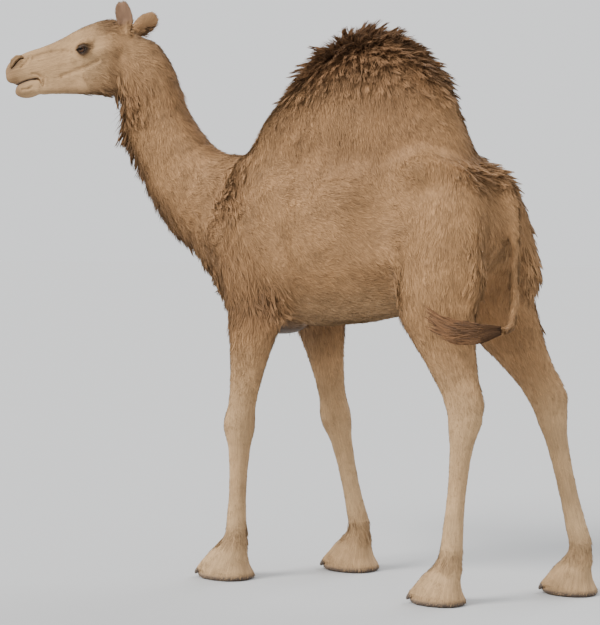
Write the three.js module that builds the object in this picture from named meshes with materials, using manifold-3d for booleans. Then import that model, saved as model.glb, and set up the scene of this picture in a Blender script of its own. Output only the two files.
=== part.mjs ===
// A standing adult dromedary, life size, in millimetres: +X towards its head, +Y to its left, +Z up,
// with the soles on z = 0. Each part of the body is a row of cross-sections with a skin drawn through
// them, out to the tips of the coat.
import * as THREE from "three";
import { mergeVertices } from "three/addons/utils/BufferGeometryUtils.js";
import Module from "manifold-3d";

const wasm = await Module();
wasm.setup();

// ---------- driving dimensions ----------
const GAP = 0.4; // the thin cut between neighbouring parts
const MIDDLE = [401, 21]; // the middle of the whole animal's box, which becomes x = y = 0
const HUMP_TOP = 2138;
const BACK_HEIGHT = 1722; // the back under the hump
const NECK_CUT = [668, 0, 1440]; // where the neck is parted from the trunk
const NECK_LEAN = 8; // degrees that this cut leans back
const HEAD_LENGTH = 592; // back of the skull to the tip of the upper lip
const HEAD_BASE = [1116, 20, 2106]; // where the skull sits on the neck
const HEAD_TURN = 20; // degrees to the camel's left
const HEAD_DROP = 6; // degrees that the muzzle points down
const EYE_RADIUS = 22;
const EYE_AT = [208, 83, 20]; // in the head's own axes
const EAR_LENGTH = 112;
const ANKLE = 128; // height of the cut above each foot

// The joints of each leg, in the pose: the far pair stands a step behind the near one.
const FORE_LEGS = {
  left: {
    side: 1,
    elbow: [388, 190, 1080],
    knee: [450, 202, 612],
    fetlock: [462, 218, 170],
    sole: [492, 228],
  },
  right: {
    side: -1,
    elbow: [366, -190, 1080],
    knee: [276, -202, 628],
    fetlock: [170, -212, 176],
    sole: [202, -216],
  },
};
const HIND_LEGS = {
  left: {
    side: 1,
    stifle: [-446, 196, 1070],
    hock: [-560, 192, 700],
    fetlock: [-520, 220, 176],
    sole: [-484, 232],
  },
  right: {
    side: -1,
    stifle: [-470, -196, 1070],
    hock: [-688, -198, 720],
    fetlock: [-814, -226, 180],
    sole: [-774, -236],
  },
};

// ---------- materials ----------
const material = (color, roughness) =>
  new THREE.MeshStandardMaterial({ color, roughness, metalness: 0 });
const COAT = material(0xb98f5f, 0.9);
const WOOL = material(0x8f6437, 0.95);
const PALE_COAT = material(0xc9a679, 0.9);
const HORN = material(0x4a3a2c, 0.5);
const EYE = material(0x1d120b, 0.12);
const CALLUS = material(0x6f5a46, 0.8);

// ---------- shapes ----------
const mix = (a, b, t) => a.map((value, i) => value + (b[i] - value) * t);
const curve = (points) =>
  new THREE.CatmullRomCurve3(points.map((p) => new THREE.Vector3(...p)), false, "catmullrom", 0.5);

// A closed manifold-3d solid from a three.js geometry.
function solid(geometry) {
  const bare = geometry.clone();
  bare.deleteAttribute("normal");
  bare.deleteAttribute("uv");
  const merged = mergeVertices(bare, 1e-3);
  const corners = Array.from(merged.index.array);
  const triangles = [];
  for (let i = 0; i < corners.length; i += 3) {
    const [a, b, c] = corners.slice(i, i + 3);
    if (a !== b && b !== c && c !== a) triangles.push(a, b, c);
  }
  return new wasm.Manifold(
    new wasm.Mesh({
      numProp: 3,
      vertProperties: merged.attributes.position.array,
      triVerts: new Uint32Array(triangles),
    }),
  );
}

// A capsule bent onto a spine. Each section has its centre `at`, how far it reaches to the `front`
// (upwards on a body that runs along X, forwards on a leg), to the `back` and to each `side`, how far it
// is turned to the left, and how `square` it is, from 2 for an ellipse. The ends close in domes of the
// lengths given.
function loft(sections, { around = 12, rings = 16, domes = [30, 30], capRings = 2, grow = 0 } = {}) {
  const centres = curve(sections.map((s) => s.at));
  const extents = curve(sections.map((s) => [s.front, s.back, s.side]));
  const styles = curve(sections.map((s) => [s.turn ?? 0, s.square ?? 2, 0]));
  const shape = new THREE.CapsuleGeometry(1, 1, capRings, around, rings);
  const position = shape.getAttribute("position");
  const rounded = (value, power) => Math.sign(value) * Math.abs(value) ** (2 / power);
  for (let i = 0; i < position.count; i++) {
    const y = position.getY(i);
    const u = THREE.MathUtils.clamp(0.5 - y, 0, 1);
    const centre = centres.getPoint(u);
    const along = centres.getTangent(u);
    const extent = extents.getPoint(u);
    const style = styles.getPoint(u);
    const turn = THREE.MathUtils.degToRad(style.x);
    const leftwards = new THREE.Vector3(-Math.sin(turn), Math.cos(turn), 0);
    const front = new THREE.Vector3().crossVectors(along, leftwards).normalize();
    const left = new THREE.Vector3().crossVectors(front, along);
    const radius = Math.hypot(position.getX(i), position.getZ(i));
    const across = radius > 1e-6 ? rounded(position.getX(i) / radius, style.y) * radius : 0;
    const ahead = radius > 1e-6 ? rounded(position.getZ(i) / radius, style.y) * radius : 0;
    const past = Math.abs(y) - 0.5;
    const dome = y > 0 ? -domes[0] - grow : domes[1] + grow;
    if (past > 0) centre.addScaledVector(along, past * dome);
    centre.addScaledVector(left, across * (extent.z + grow));
    centre.addScaledVector(front, ahead * ((ahead > 0 ? extent.x : extent.y) + grow));
    position.setXYZ(i, centre.x, centre.y, centre.z);
  }
  return solid(shape);
}

// An ellipsoid with its half sizes along its own axes, turned about Z after its front is dropped.
function ellipsoid(at, [x, y, z], { around = 10, turn = 0, drop = 0, grow = 0 } = {}) {
  const shape = new THREE.SphereGeometry(1, around, Math.ceil(around * 0.6));
  shape.rotateX(Math.PI / 2).scale(x + grow, y + grow, z + grow);
  shape.rotateY(THREE.MathUtils.degToRad(drop)).rotateZ(THREE.MathUtils.degToRad(turn));
  shape.translate(...at);
  return solid(shape);
}

// Everything from one height to another.
const REACH = 6000;
function layer(low, high) {
  const box = new THREE.BoxGeometry(REACH, REACH, high - low).toNonIndexed();
  return solid(box.translate(0, 0, (low + high) / 2));
}

// Everything ahead of a plane through `at` that faces forwards, leant back from upright by `lean` degrees.
function ahead(at, lean) {
  const box = new THREE.BoxGeometry(REACH, REACH, REACH).toNonIndexed();
  box.translate(REACH / 2, 0, 0).rotateY(THREE.MathUtils.degToRad(-lean)).translate(...at);
  return solid(box);
}

const join = (...solids) => solids.reduce((whole, next) => whole.add(next));
const largest = (whole) => whole.decompose().sort((a, b) => b.volume() - a.volume())[0];

const camel = new THREE.Group();
camel.position.set(-MIDDLE[0], -MIDDLE[1], 0);

// Adds a solid to a group as a named mesh.
function part(name, shape, finish, group = camel) {
  const mesh = largest(shape).getMesh();
  const geometry = new THREE.BufferGeometry();
  const corners = new THREE.BufferAttribute(new Float32Array(mesh.vertProperties), 3);
  geometry.setAttribute("position", corners);
  geometry.setIndex(new THREE.BufferAttribute(new Uint32Array(mesh.triVerts), 1));
  geometry.computeVertexNormals();
  const made = new THREE.Mesh(geometry, finish);
  made.name = name;
  group.add(made);
}

// ---------- trunk ----------
// A barrel ribcage, deepest behind the elbows, drawn up at the flank and falling away over the croup.
function trunkForm(grow = 0) {
  const slice = (x, top, bottom, half, square = 2) => {
    const widest = bottom + (top - bottom) * 0.44;
    return { at: [x, 0, widest], front: top - widest, back: widest - bottom, side: half, square };
  };
  return loft(
    [
      slice(-612, 1540, 1345, 84),
      slice(-560, 1608, 1270, 146),
      slice(-470, 1662, 1190, 196),
      slice(-350, 1702, 1112, 242, 2.15),
      slice(-190, 1716, 1044, 286, 2.2),
      slice(0, BACK_HEIGHT, 1000, 304, 2.2),
      slice(215, 1716, 980, 280, 2.2),
      slice(400, 1706, 988, 238, 2.15),
      slice(560, 1684, 1042, 196),
      slice(680, 1620, 1112, 162),
      slice(766, 1496, 1178, 118),
    ],
    { around: 20, rings: 12, domes: [26, 30], grow },
  );
}

// The fatty hump, broad at its foot along the back and narrow from side to side, its top a little back.
function humpForm(grow = 0) {
  const slice = (z, front, back, half, square = 2) => ({
    at: [(front + back) / 2, 0, z],
    front: (front - back) / 2,
    back: (front - back) / 2,
    side: half,
    square,
  });
  return loft(
    [
      slice(2112, 74, -176, 74),
      slice(2078, 152, -246, 106),
      slice(2000, 258, -334, 136),
      slice(1900, 340, -402, 160),
      slice(1800, 412, -450, 182),
      slice(1700, 500, -512, 204),
      slice(1560, 560, -530, 212),
    ],
    { around: 16, rings: 8, domes: [HUMP_TOP - 2112, 30], grow },
  );
}

// The horny pad under the breastbone, on which the animal rests when it lies down.
const chestPadForm = (grow = 0) => ellipsoid([402, 0, 984], [128, 84, 44], { around: 12, grow });

// ---------- neck ----------
// It leaves the chest low, swings forwards and up in a flat S, and turns to the left below the head.
function neckForm(grow = 0) {
  return loft(
    [
      { at: [430, 0, 1440], front: 190, back: 250, side: 160 },
      { at: [610, 0, 1444], front: 232, back: 252, side: 164 },
      { at: [750, 2, 1484], front: 212, back: 238, side: 136 },
      { at: [868, 5, 1580], front: 184, back: 216, side: 112 },
      { at: [960, 10, 1706], front: 162, back: 192, side: 97, turn: 4 },
      { at: [1028, 15, 1832], front: 152, back: 172, side: 88, turn: 9 },
      { at: [1078, 20, 1950], front: 158, back: 152, side: 82, turn: 15 },
      { at: [1126, 26, 2048], front: 144, back: 130, side: 79, turn: HEAD_TURN },
      { at: [1176, 40, 2112], front: 92, back: 96, side: 68, turn: HEAD_TURN },
    ],
    { rings: 10, domes: [40, 26], grow },
  );
}

// ---------- head ----------
// In the head's own axes: x from the back of the skull to the lips, y to the left and z up.
const headTransform = new THREE.Matrix4().compose(
  new THREE.Vector3(...HEAD_BASE),
  new THREE.Quaternion().setFromEuler(
    new THREE.Euler(0, THREE.MathUtils.degToRad(HEAD_DROP), THREE.MathUtils.degToRad(HEAD_TURN), "ZYX"),
  ),
  new THREE.Vector3(1, 1, 1),
);

const headSlice = (share, top, bottom, half, level, square = 2) => ({
  at: [share * HEAD_LENGTH, 0, level],
  front: top - level,
  back: level - bottom,
  side: half,
  square,
});

// The braincase, face and muzzle down to the upper lip, which hangs a little over the lower one.
function skullForm(grow = 0) {
  return loft(
    [
      headSlice(0.03, 98, -76, 62, 5),
      headSlice(0.12, 140, -100, 82, 6),
      headSlice(0.24, 146, -106, 92, 6, 2.3),
      headSlice(0.35, 130, -104, 92, 6, 2.6),
      headSlice(0.46, 108, -96, 72, -4, 2.6),
      headSlice(0.58, 86, -86, 57, -12, 2.6),
      headSlice(0.72, 68, -78, 50, -18, 2.6),
      headSlice(0.84, 56, -78, 53, -20, 2.6),
      headSlice(0.93, 32, -82, 49, -28, 2.5),
      headSlice(0.985, -2, -80, 35, -42, 2.2),
    ],
    { around: 14, rings: 12, domes: [26, HEAD_LENGTH * 0.022], grow },
  );
}

// The lower jaw: a deep flat cheek at its angle, a slim bar, and the loose lower lip.
function jawForm(grow = 0) {
  return loft(
    [
      headSlice(0.08, 20, -146, 64, -50),
      headSlice(0.18, 20, -186, 80, -56, 2.5),
      headSlice(0.31, 0, -180, 78, -70, 2.5),
      headSlice(0.45, -30, -158, 60, -86, 2.5),
      headSlice(0.6, -48, -136, 48, -90, 2.5),
      headSlice(0.74, -58, -127, 43, -92, 2.4),
      headSlice(0.84, -64, -138, 46, -98, 2.3),
      headSlice(0.915, -70, -130, 38, -98, 2.2),
    ],
    { around: 12, rings: 9, domes: [24, 16], grow },
  );
}

// The cheeks, which close the mouth from its corner back to the angle of the jaw.
function cheekForm(grow = 0) {
  return loft(
    [
      headSlice(0.17, -14, -104, 82, -60, 2.6),
      headSlice(0.3, -8, -114, 86, -62, 2.6),
      headSlice(0.44, -18, -108, 68, -64, 2.6),
      headSlice(0.57, -28, -100, 54, -66, 2.6),
      headSlice(0.69, -38, -94, 45, -66, 2.4),
    ],
    { around: 8, rings: 6, domes: [12, 12], capRings: 1, grow },
  );
}

// The bony rim over each eye, the widest part of the head, and the lids below it.
function browForm(side, grow = 0) {
  const at = [EYE_AT[0] - 8, side * 78, EYE_AT[2] + 26];
  return ellipsoid(at, [54, 27, 18], { around: 8, turn: side * -14, drop: 8, grow });
}
function lidForm(side, grow = 0) {
  const at = [EYE_AT[0] + 2, side * (EYE_AT[1] - 4), EYE_AT[2]];
  return ellipsoid(at, [38, 22, 29], { around: 8, turn: side * -12, grow });
}

const headForm = (grow = 0) =>
  join(
    skullForm(grow),
    jawForm(grow),
    cheekForm(grow),
    ...[1, -1].flatMap((side) => [browForm(side, grow), lidForm(side, grow)]),
  );

// A slanting slit on each side of the muzzle, which shuts against sand.
function nostrilCut(side) {
  const at = [HEAD_LENGTH * 0.88, side * 46, 4];
  return ellipsoid(at, [23, 10, 5], { turn: side * 22, drop: 34, around: 6 });
}

function eyeForm(side, grow = 0) {
  const at = [EYE_AT[0], side * EYE_AT[1], EYE_AT[2]];
  return ellipsoid(at, [EYE_RADIUS, EYE_RADIUS, EYE_RADIUS], { around: 10, grow });
}

// A short rounded ear: a leaf with its hollow facing forwards and outwards. Each ear has its own tilt.
const EARS = {
  left: { side: 1, reach: [2, 28], turn: 78 },
  right: { side: -1, reach: [-78, 56], turn: 34 },
};
function earForm({ side, reach, turn }) {
  const base = [22, side * 54, 86];
  const rise = Math.sqrt(EAR_LENGTH ** 2 - reach[0] ** 2 - reach[1] ** 2);
  const tip = [base[0] + reach[0], base[1] + side * reach[1], base[2] + rise];
  const facing = THREE.MathUtils.degToRad(turn);
  const leaf = (grow, shift) =>
    loft(
      [
        [0, 22, 33],
        [0.35, 20, 42],
        [0.65, 16, 41],
        [0.97, 8, 19],
      ].map(([t, thick, wide]) => {
        const [x, y, z] = mix(base, tip, t);
        const at = [x + shift * Math.cos(facing), y + side * shift * Math.sin(facing), z];
        return { at, front: thick + grow, back: thick + grow, side: wide + grow, turn: side * turn };
      }),
      { around: 10, rings: 5, domes: [10, 6], capRings: 1 },
    );
  const hollow = leaf(-5, 17).subtract(layer(-200, base[2] + EAR_LENGTH * 0.2));
  return leaf(0, 0).subtract(hollow);
}

// ---------- legs ----------
// The foot below the fetlock: two toes on one broad soft pad.
function footSections({ fetlock, sole }, { front, back, half }) {
  const at = (share, z) => [...mix(fetlock, sole, share).slice(0, 2), z];
  const slice = (share, z, size, square) => ({
    at: at(share, z),
    front: front * size,
    back: back * size,
    side: half * size,
    square,
  });
  return [slice(0.35, 116, 0.6), slice(0.75, 72, 0.82), slice(1, 30, 1, 2.3), slice(1, -10, 0.97, 2.3)];
}

// The cleft between the toes in front.
const cleftCut = ({ sole }, { front }) =>
  ellipsoid([sole[0] + front * 0.98, sole[1], 46], [front * 0.6, 4.5, 42], { around: 6, drop: 24 });

const nailForm = ({ sole }, { front, half }, toe, grow = 0) =>
  ellipsoid([sole[0] + front * 0.88, sole[1] + toe * half * 0.46, 30], [22, 15, 15], {
    around: 8,
    turn: toe * 14,
    drop: 26,
    grow,
  });

// Shoulder, forearm, knee, cannon and foot as one form, from sections given along its bones.
function foreLegForm(leg, pad) {
  const { side, elbow, knee, fetlock } = leg;
  const forearm = (t) => mix(elbow, knee, t);
  const cannon = (t) => mix(knee, fetlock, t);
  return loft(
    [
      { at: [448, side * 112, 1575], front: 96, back: 100, side: 66 },
      { at: [444, side * 146, 1440], front: 132, back: 136, side: 80 },
      { at: [432, side * 166, 1310], front: 156, back: 160, side: 86 },
      { at: [410, side * 180, 1190], front: 162, back: 168, side: 82 },
      { at: elbow, front: 152, back: 168, side: 74 },
      { at: forearm(0.22), front: 118, back: 130, side: 64 },
      { at: forearm(0.45), front: 88, back: 96, side: 56 },
      { at: forearm(0.7), front: 70, back: 70, side: 50 },
      { at: forearm(0.88), front: 64, back: 60, side: 50 },
      { at: knee, front: 74, back: 64, side: 60, square: 2.2 },
      { at: cannon(0.1), front: 68, back: 60, side: 55, square: 2.2 },
      { at: cannon(0.26), front: 46, back: 48, side: 43 },
      { at: cannon(0.6), front: 38, back: 41, side: 37 },
      { at: cannon(0.88), front: 43, back: 48, side: 42 },
      { at: fetlock, front: 50, back: 57, side: 47 },
      ...footSections(leg, pad),
    ],
    { rings: 25, domes: [40, 8] },
  );
}

// Haunch, thigh, gaskin, hock, cannon and foot as one form. The haunch swings back with its leg.
function hindLegForm(leg, pad) {
  const { side, stifle, hock, fetlock } = leg;
  const gaskin = (t) => mix(stifle, hock, t);
  const cannon = (t) => mix(hock, fetlock, t);
  const swing = stifle[0] - HIND_LEGS.left.stifle[0];
  const thigh = [-452 + swing, side * 172, 1270];
  return loft(
    [
      { at: [-488, side * 92, 1590], front: 96, back: 84, side: 62 },
      { at: [-478 + swing * 0.4, side * 130, 1490], front: 150, back: 136, side: 80 },
      { at: [-462 + swing * 0.8, side * 154, 1380], front: 190, back: 170, side: 92 },
      { at: thigh, front: 206, back: 190, side: 96 },
      { at: mix(thigh, stifle, 0.5), front: 202, back: 196, side: 92 },
      { at: stifle, front: 176, back: 182, side: 82 },
      { at: gaskin(0.3), front: 126, back: 142, side: 68 },
      { at: gaskin(0.55), front: 98, back: 112, side: 58 },
      { at: gaskin(0.78), front: 74, back: 90, side: 49 },
      { at: hock, front: 70, back: 86, side: 50, square: 2.2 },
      { at: cannon(0.12), front: 60, back: 70, side: 46, square: 2.2 },
      { at: cannon(0.28), front: 44, back: 50, side: 39 },
      { at: cannon(0.6), front: 38, back: 42, side: 35 },
      { at: cannon(0.88), front: 43, back: 49, side: 40 },
      { at: fetlock, front: 49, back: 57, side: 45 },
      ...footSections(leg, pad),
    ],
    { rings: 25, domes: [36, 8] },
  );
}

// ---------- tail ----------
// It hangs between the buttocks and is swung round to the left of the thigh at its end.
function tailForm(grow = 0) {
  return loft(
    [
      { at: [-540, 0, 1590], front: 50, back: 40, side: 52 },
      { at: [-606, 2, 1556], front: 46, back: 36, side: 44 },
      { at: [-650, 4, 1470], front: 33, back: 30, side: 34 },
      { at: [-660, 8, 1340], front: 26, back: 26, side: 28 },
      { at: [-668, 22, 1190], front: 24, back: 24, side: 26 },
      { at: [-690, 62, 1066], front: 22, back: 23, side: 25 },
      { at: [-714, 132, 1008], front: 21, back: 22, side: 24 },
      { at: [-716, 206, 1000], front: 21, back: 22, side: 22 },
    ],
    { around: 8, rings: 10, domes: [30, 14], capRings: 1, grow },
  );
}

// The hair at the tail's end.
function tuftForm(grow = 0) {
  return loft(
    [
      { at: [-722, 198, 1002], front: 22, back: 24, side: 24 },
      { at: [-684, 280, 1004], front: 36, back: 38, side: 26 },
      { at: [-612, 330, 1012], front: 42, back: 40, side: 24 },
      { at: [-534, 346, 1030], front: 34, back: 30, side: 18 },
      { at: [-456, 350, 1062], front: 14, back: 12, side: 10 },
    ],
    { around: 10, rings: 7, domes: [14, 22], capRings: 1, grow },
  );
}

// ---------- assembly ----------
const SKY = 3000;
const PARTS_OF_LEGS = [
  {
    legs: FORE_LEGS,
    name: "fore",
    upper: "forearm",
    form: foreLegForm,
    pad: { front: 120, back: 108, half: 97 },
  },
  {
    legs: HIND_LEGS,
    name: "hind",
    upper: "thigh",
    form: hindLegForm,
    pad: { front: 110, back: 100, half: 85 },
  },
];
const BELOW_JOINT = 80; // from the knee or hock down to the cut above the cannon

const neckCutter = ahead(NECK_CUT, NECK_LEAN);
const bodyCutter = ahead([NECK_CUT[0] - GAP, NECK_CUT[1], NECK_CUT[2]], NECK_LEAN);
const headInPlace = (grow) => headForm(grow).transform(headTransform.toArray());
const frontAndBack = join(trunkForm(), neckForm());
const grownBody = join(trunkForm(GAP), neckForm(GAP));
const allButLegs = join(grownBody, chestPadForm(GAP), tailForm(GAP), tuftForm(GAP), humpForm(GAP));

part("trunk", frontAndBack.subtract(bodyCutter), COAT);
part("neck", frontAndBack.intersect(neckCutter).subtract(headInPlace(GAP)), COAT);
part("hump", humpForm().subtract(grownBody), WOOL);
part("chest_pad", chestPadForm().subtract(grownBody), CALLUS);
part("tail", tailForm().subtract(join(grownBody, humpForm(GAP), tuftForm(GAP))), COAT);
part("tail_tuft", tuftForm(), WOOL);

for (const { legs, name, upper, form, pad } of PARTS_OF_LEGS) {
  for (const [sideName, leg] of Object.entries(legs)) {
    const whole = form(leg, pad).subtract(allButLegs).subtract(cleftCut(leg, pad));
    const split = (leg.knee ?? leg.hock)[2] - BELOW_JOINT;
    let foot = whole.intersect(layer(0, ANKLE - GAP));
    for (const [toeName, toe] of [["inner", -leg.side], ["outer", leg.side]]) {
      foot = foot.subtract(nailForm(leg, pad, toe, GAP));
      part(`${name}_${sideName}_nail_${toeName}`, nailForm(leg, pad, toe), HORN);
    }
    part(`${name}_${sideName}_foot`, foot, PALE_COAT);
    part(`${name}_${sideName}_cannon`, whole.intersect(layer(ANKLE, split - GAP)), PALE_COAT);
    part(`${name}_${sideName}_${upper}`, whole.intersect(layer(split, SKY)), COAT);
  }
}

const head = new THREE.Group();
head.applyMatrix4(headTransform);
camel.add(head);
let skull = headForm();
for (const [name, ear] of Object.entries(EARS)) {
  skull = skull.subtract(join(eyeForm(ear.side, GAP), nostrilCut(ear.side)));
  part(`eye_${name}`, eyeForm(ear.side), EYE, head);
  part(`ear_${name}`, earForm(ear).subtract(headForm(GAP)), COAT, head);
}
part("head", skull, COAT, head);

export default camel;
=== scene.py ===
import math

import bmesh
import bpy
import numpy as np
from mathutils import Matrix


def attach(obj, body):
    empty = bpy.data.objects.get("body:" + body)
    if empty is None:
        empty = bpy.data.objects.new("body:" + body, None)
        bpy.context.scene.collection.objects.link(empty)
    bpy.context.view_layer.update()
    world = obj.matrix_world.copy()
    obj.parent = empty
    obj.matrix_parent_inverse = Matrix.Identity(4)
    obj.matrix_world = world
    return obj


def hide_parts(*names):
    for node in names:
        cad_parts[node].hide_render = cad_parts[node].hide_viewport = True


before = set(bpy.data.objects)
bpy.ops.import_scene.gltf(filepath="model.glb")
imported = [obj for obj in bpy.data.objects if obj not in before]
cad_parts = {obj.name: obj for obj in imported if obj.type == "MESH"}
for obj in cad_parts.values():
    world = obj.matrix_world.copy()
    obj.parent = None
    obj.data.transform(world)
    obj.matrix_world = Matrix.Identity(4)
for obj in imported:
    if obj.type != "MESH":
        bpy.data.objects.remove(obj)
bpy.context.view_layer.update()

import openvdb
from mathutils import Matrix, Vector

# ---------------------------------------------------------------- hide
# The skin of the whole animal in one closed surface, leather over flesh and bone, from the lips to the end of
# the tail and down to the soles. It is drawn over the solids of the flesh and lies inside them by most of the
# depth of its hair. The trunk's is the coarsest, and the head's and the feet's are finer.
MM = 0.001
ORIGIN = np.array([401.0, 21.0, 0.0])  # millimetres from the breast's measuring point to the frame's middle
CELL_FLESH, CELL_BODY, CELL_HEAD, CELL_FOOT = 0.0065, 0.0153, 0.0044, 0.0070
HEAD_BOX = (0.46, -0.20, 1.83), (1.32, 0.30, 2.34)
NECK_AXIS = np.array([0.40, 0.06, 0.91]) / np.linalg.norm([0.40, 0.06, 0.91])
FOOT_CUT = 0.205  # the height at which the finer mesh of each foot begins
SEAM = 0.002  # half the width of the gap that is left there and then stitched up
FLESH = [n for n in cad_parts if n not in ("tail_tuft", "ear_left", "ear_right")]

# Joints of the legs, from the shoulder blade or hip down to the sole.
FORE = {
    "left": [
        *((448, 112, 1575), (432, 166, 1310), (388, 190, 1080)),
        *((450, 202, 612), (462, 218, 170), (492, 228, 20)),
    ],
    "right": [
        *((448, -112, 1575), (432, -166, 1310), (366, -190, 1080)),
        *((276, -202, 628), (170, -212, 176), (202, -216, 20)),
    ],
}
HIND = {
    "left": [
        *((-488, 92, 1590), (-452, 172, 1270), (-446, 196, 1070)),
        *((-560, 192, 700), (-520, 220, 176), (-484, 232, 20)),
    ],
    "right": [
        *((-488, -92, 1590), (-472, -172, 1270), (-470, -196, 1070)),
        *((-688, -198, 720), (-814, -226, 180), (-774, -236, 20)),
    ],
}
ELBOW, KNEE, STIFLE, HOCK, SOLE = 2, 3, 2, 3, -1
FEET = (FORE, 120, 97), (HIND, 110, 85)  # each pair of legs, with half the length and width of its feet

# The head's own axes run forwards, to the left and up from the back of the skull.
HEAD_AT = (np.array([1116.0, 20.0, 2106.0]) - ORIGIN) * MM
HEAD_AXES = np.array(Matrix.Rotation(math.radians(20), 3, "Z") @ Matrix.Rotation(math.radians(6), 3, "Y"))
EYE = np.array([208.0, 83.0, 20.0])
EYE_BALL = 22.0
LID_LONG = 22.5  # from the middle of the eye to the corners of its lids

# The ears stand on the crown: short cups of gristle. Each has its side, how far its tip leans forwards and
# outwards, and which way it faces.
EARS = {"left": (1, (2, 28), 78), "right": (-1, (-78, 56), 34)}
EAR_LONG = 112.0

# Eyes, nostrils, and the corners and fronts of the mouth: their places, reach and cell.
FEATURES = [
    ((208, 95, 18), 37, 1.7),
    ((526, 52, 6), 33, 2.0),
    ((450, 46, -72), 26, 2.0),
    ((510, 44, -90), 30, 2.0),
]


def spot(point):
    """A place in the frame from millimetres at the measuring point."""
    return (np.asarray(point, float) - ORIGIN) * MM


NECK_CUT = spot((1066, 19, 1925))


def in_head(x, y, z):
    """Places of the frame in the head's own axes, in millimetres."""
    dx, dy, dz = x - HEAD_AT[0], y - HEAD_AT[1], z - HEAD_AT[2]
    return [(dx * c[0] + dy * c[1] + dz * c[2]) / MM for c in HEAD_AXES.T]


def from_head(point):
    return HEAD_AT + HEAD_AXES @ (np.asarray(point, float) * MM)


def step(value, low, high):
    """0 below low, 1 above high, and an even rise between them."""
    t = np.clip((value - low) / (high - low), 0, 1)
    return t * t * (3 - 2 * t)


def values_of(items, name, width=1, kind=float):
    """One property of all of a mesh's points, edges, corners or faces."""
    values = np.empty(len(items) * width, kind)
    items.foreach_get(name, values)
    return values if width == 1 else values.reshape(-1, width)


def flesh_triangles():
    points, triangles, start = [], [], 0
    for name in FLESH:
        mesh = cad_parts[name].data
        mesh.calc_loop_triangles()
        points.append(values_of(mesh.vertices, "co", 3, np.float32))
        triangles.append(values_of(mesh.loop_triangles, "vertices", 3, np.int32) + start)
        start += len(mesh.vertices)
    return np.concatenate(points), np.concatenate(triangles)


class Depth:
    """A box of space with the distance from each point to the body's surface, in metres, negative inside."""

    WALL = 0.0015  # the joints between the solids are thinner than this
    REACH = 0.045  # how far from the surface the distances are kept

    def __init__(self, low, high, cell):
        self.cell = cell
        self.first = np.floor(np.array(low) / cell).astype(int)
        self.count = np.ceil(np.array(high) / cell).astype(int) - self.first
        self.field = np.empty(tuple(self.count), np.float32)

    def measured(self, points, faces):
        """Fills the box from a closed surface."""
        kind = {3: "triangles", 4: "quads"}[faces.shape[1]]
        surface = {kind: faces, "halfWidth": math.ceil(self.REACH / self.cell)}
        scale = openvdb.createLinearTransform(voxelSize=self.cell)
        grid = openvdb.FloatGrid.createLevelSetFromPolygons(points, transform=scale, **surface)
        grid.copyToArray(self.field, ijk=tuple(self.first.tolist()))
        return self

    def within(self, low, high, cell):
        """Part of the box again, in cells of another size."""
        part = Depth(low, high, cell)
        out = self.field
        for axis in range(3):
            at = (np.arange(part.count[axis]) + part.first[axis]) * cell / self.cell - self.first[axis]
            at = np.clip(at, 0, self.count[axis] - 1.001)
            base = at.astype(int)
            shape = [-1 if a == axis else 1 for a in range(3)]
            t = (at - base).astype(np.float32).reshape(shape)
            out = out.take(base, axis) * (1 - t) + out.take(base + 1, axis) * t
        part.field = out
        return part

    def places(self):
        axes = [((np.arange(n) + f) * self.cell).astype(np.float32) for n, f in zip(self.count, self.first)]
        return np.meshgrid(*axes, indexing="ij", sparse=True)

    def softened(self, sigma):
        """The distances averaged over a reach, which rounds off whatever is smaller than it."""
        reach = max(1, math.ceil(2.4 * sigma / self.cell))
        weights = np.exp(-0.5 * (np.arange(-reach, reach + 1) * self.cell / sigma) ** 2)
        weights = (weights / weights.sum()).astype(np.float32)
        out = self.field
        for axis in range(3):
            wide = np.pad(out, [(reach, reach) if a == axis else (0, 0) for a in range(3)], mode="edge")
            wide = np.moveaxis(wide, axis, 0)
            total = sum(w * wide[i : i + out.shape[axis]] for i, w in enumerate(weights))
            out = np.moveaxis(total, 0, axis)
        return out

    def skin(self, level=0.0):
        """The surface at one distance, as points and four-sided faces."""
        grid = openvdb.FloatGrid(self.REACH)
        grid.copyFromArray(np.ascontiguousarray(self.field), ijk=tuple(self.first.tolist()))
        grid.transform = openvdb.createLinearTransform(voxelSize=self.cell)
        return grid.convertToQuads(isovalue=level)

    def at(self, points):
        """The distances at any points, read between the cells."""
        spots = np.clip(points / self.cell - self.first, 0, self.count - 1.001)
        base = spots.astype(int)
        t = (spots - base).astype(np.float32)
        total = 0
        for i, j, k in np.ndindex(2, 2, 2):
            share = np.abs(1 - i - t[:, 0]) * np.abs(1 - j - t[:, 1]) * np.abs(1 - k - t[:, 2])
            total = total + share * self.field[base[:, 0] + i, base[:, 1] + j, base[:, 2] + k]
        return total


def union(a, b, blend):
    """The nearer of two shapes, with a fillet of about that size between them."""
    h = np.clip(0.5 + 0.5 * (b - a) / blend, 0, 1)
    return b + (a - b) * h - blend * h * (1 - h)


def carve(a, b, blend):
    """The first shape with the second cut out of it."""
    return -union(-a, b, blend)


def egg(place, centre, radii, turn=0, drop=0):
    """Distance outside an ellipsoid, in millimetres. Its front is dropped, then turned to the left."""
    x, y, z = (p - c for p, c in zip(place, centre))
    t, d = math.radians(turn), math.radians(drop)
    x, y = x * math.cos(t) + y * math.sin(t), y * math.cos(t) - x * math.sin(t)
    x, z = x * math.cos(d) - z * math.sin(d), z * math.cos(d) + x * math.sin(d)
    near = np.sqrt((x / radii[0]) ** 2 + (y / radii[1]) ** 2 + (z / radii[2]) ** 2)
    steep = np.sqrt((x / radii[0] ** 2) ** 2 + (y / radii[1] ** 2) ** 2 + (z / radii[2] ** 2) ** 2)
    return near * (near - 1) / (steep + 1e-6)


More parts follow.
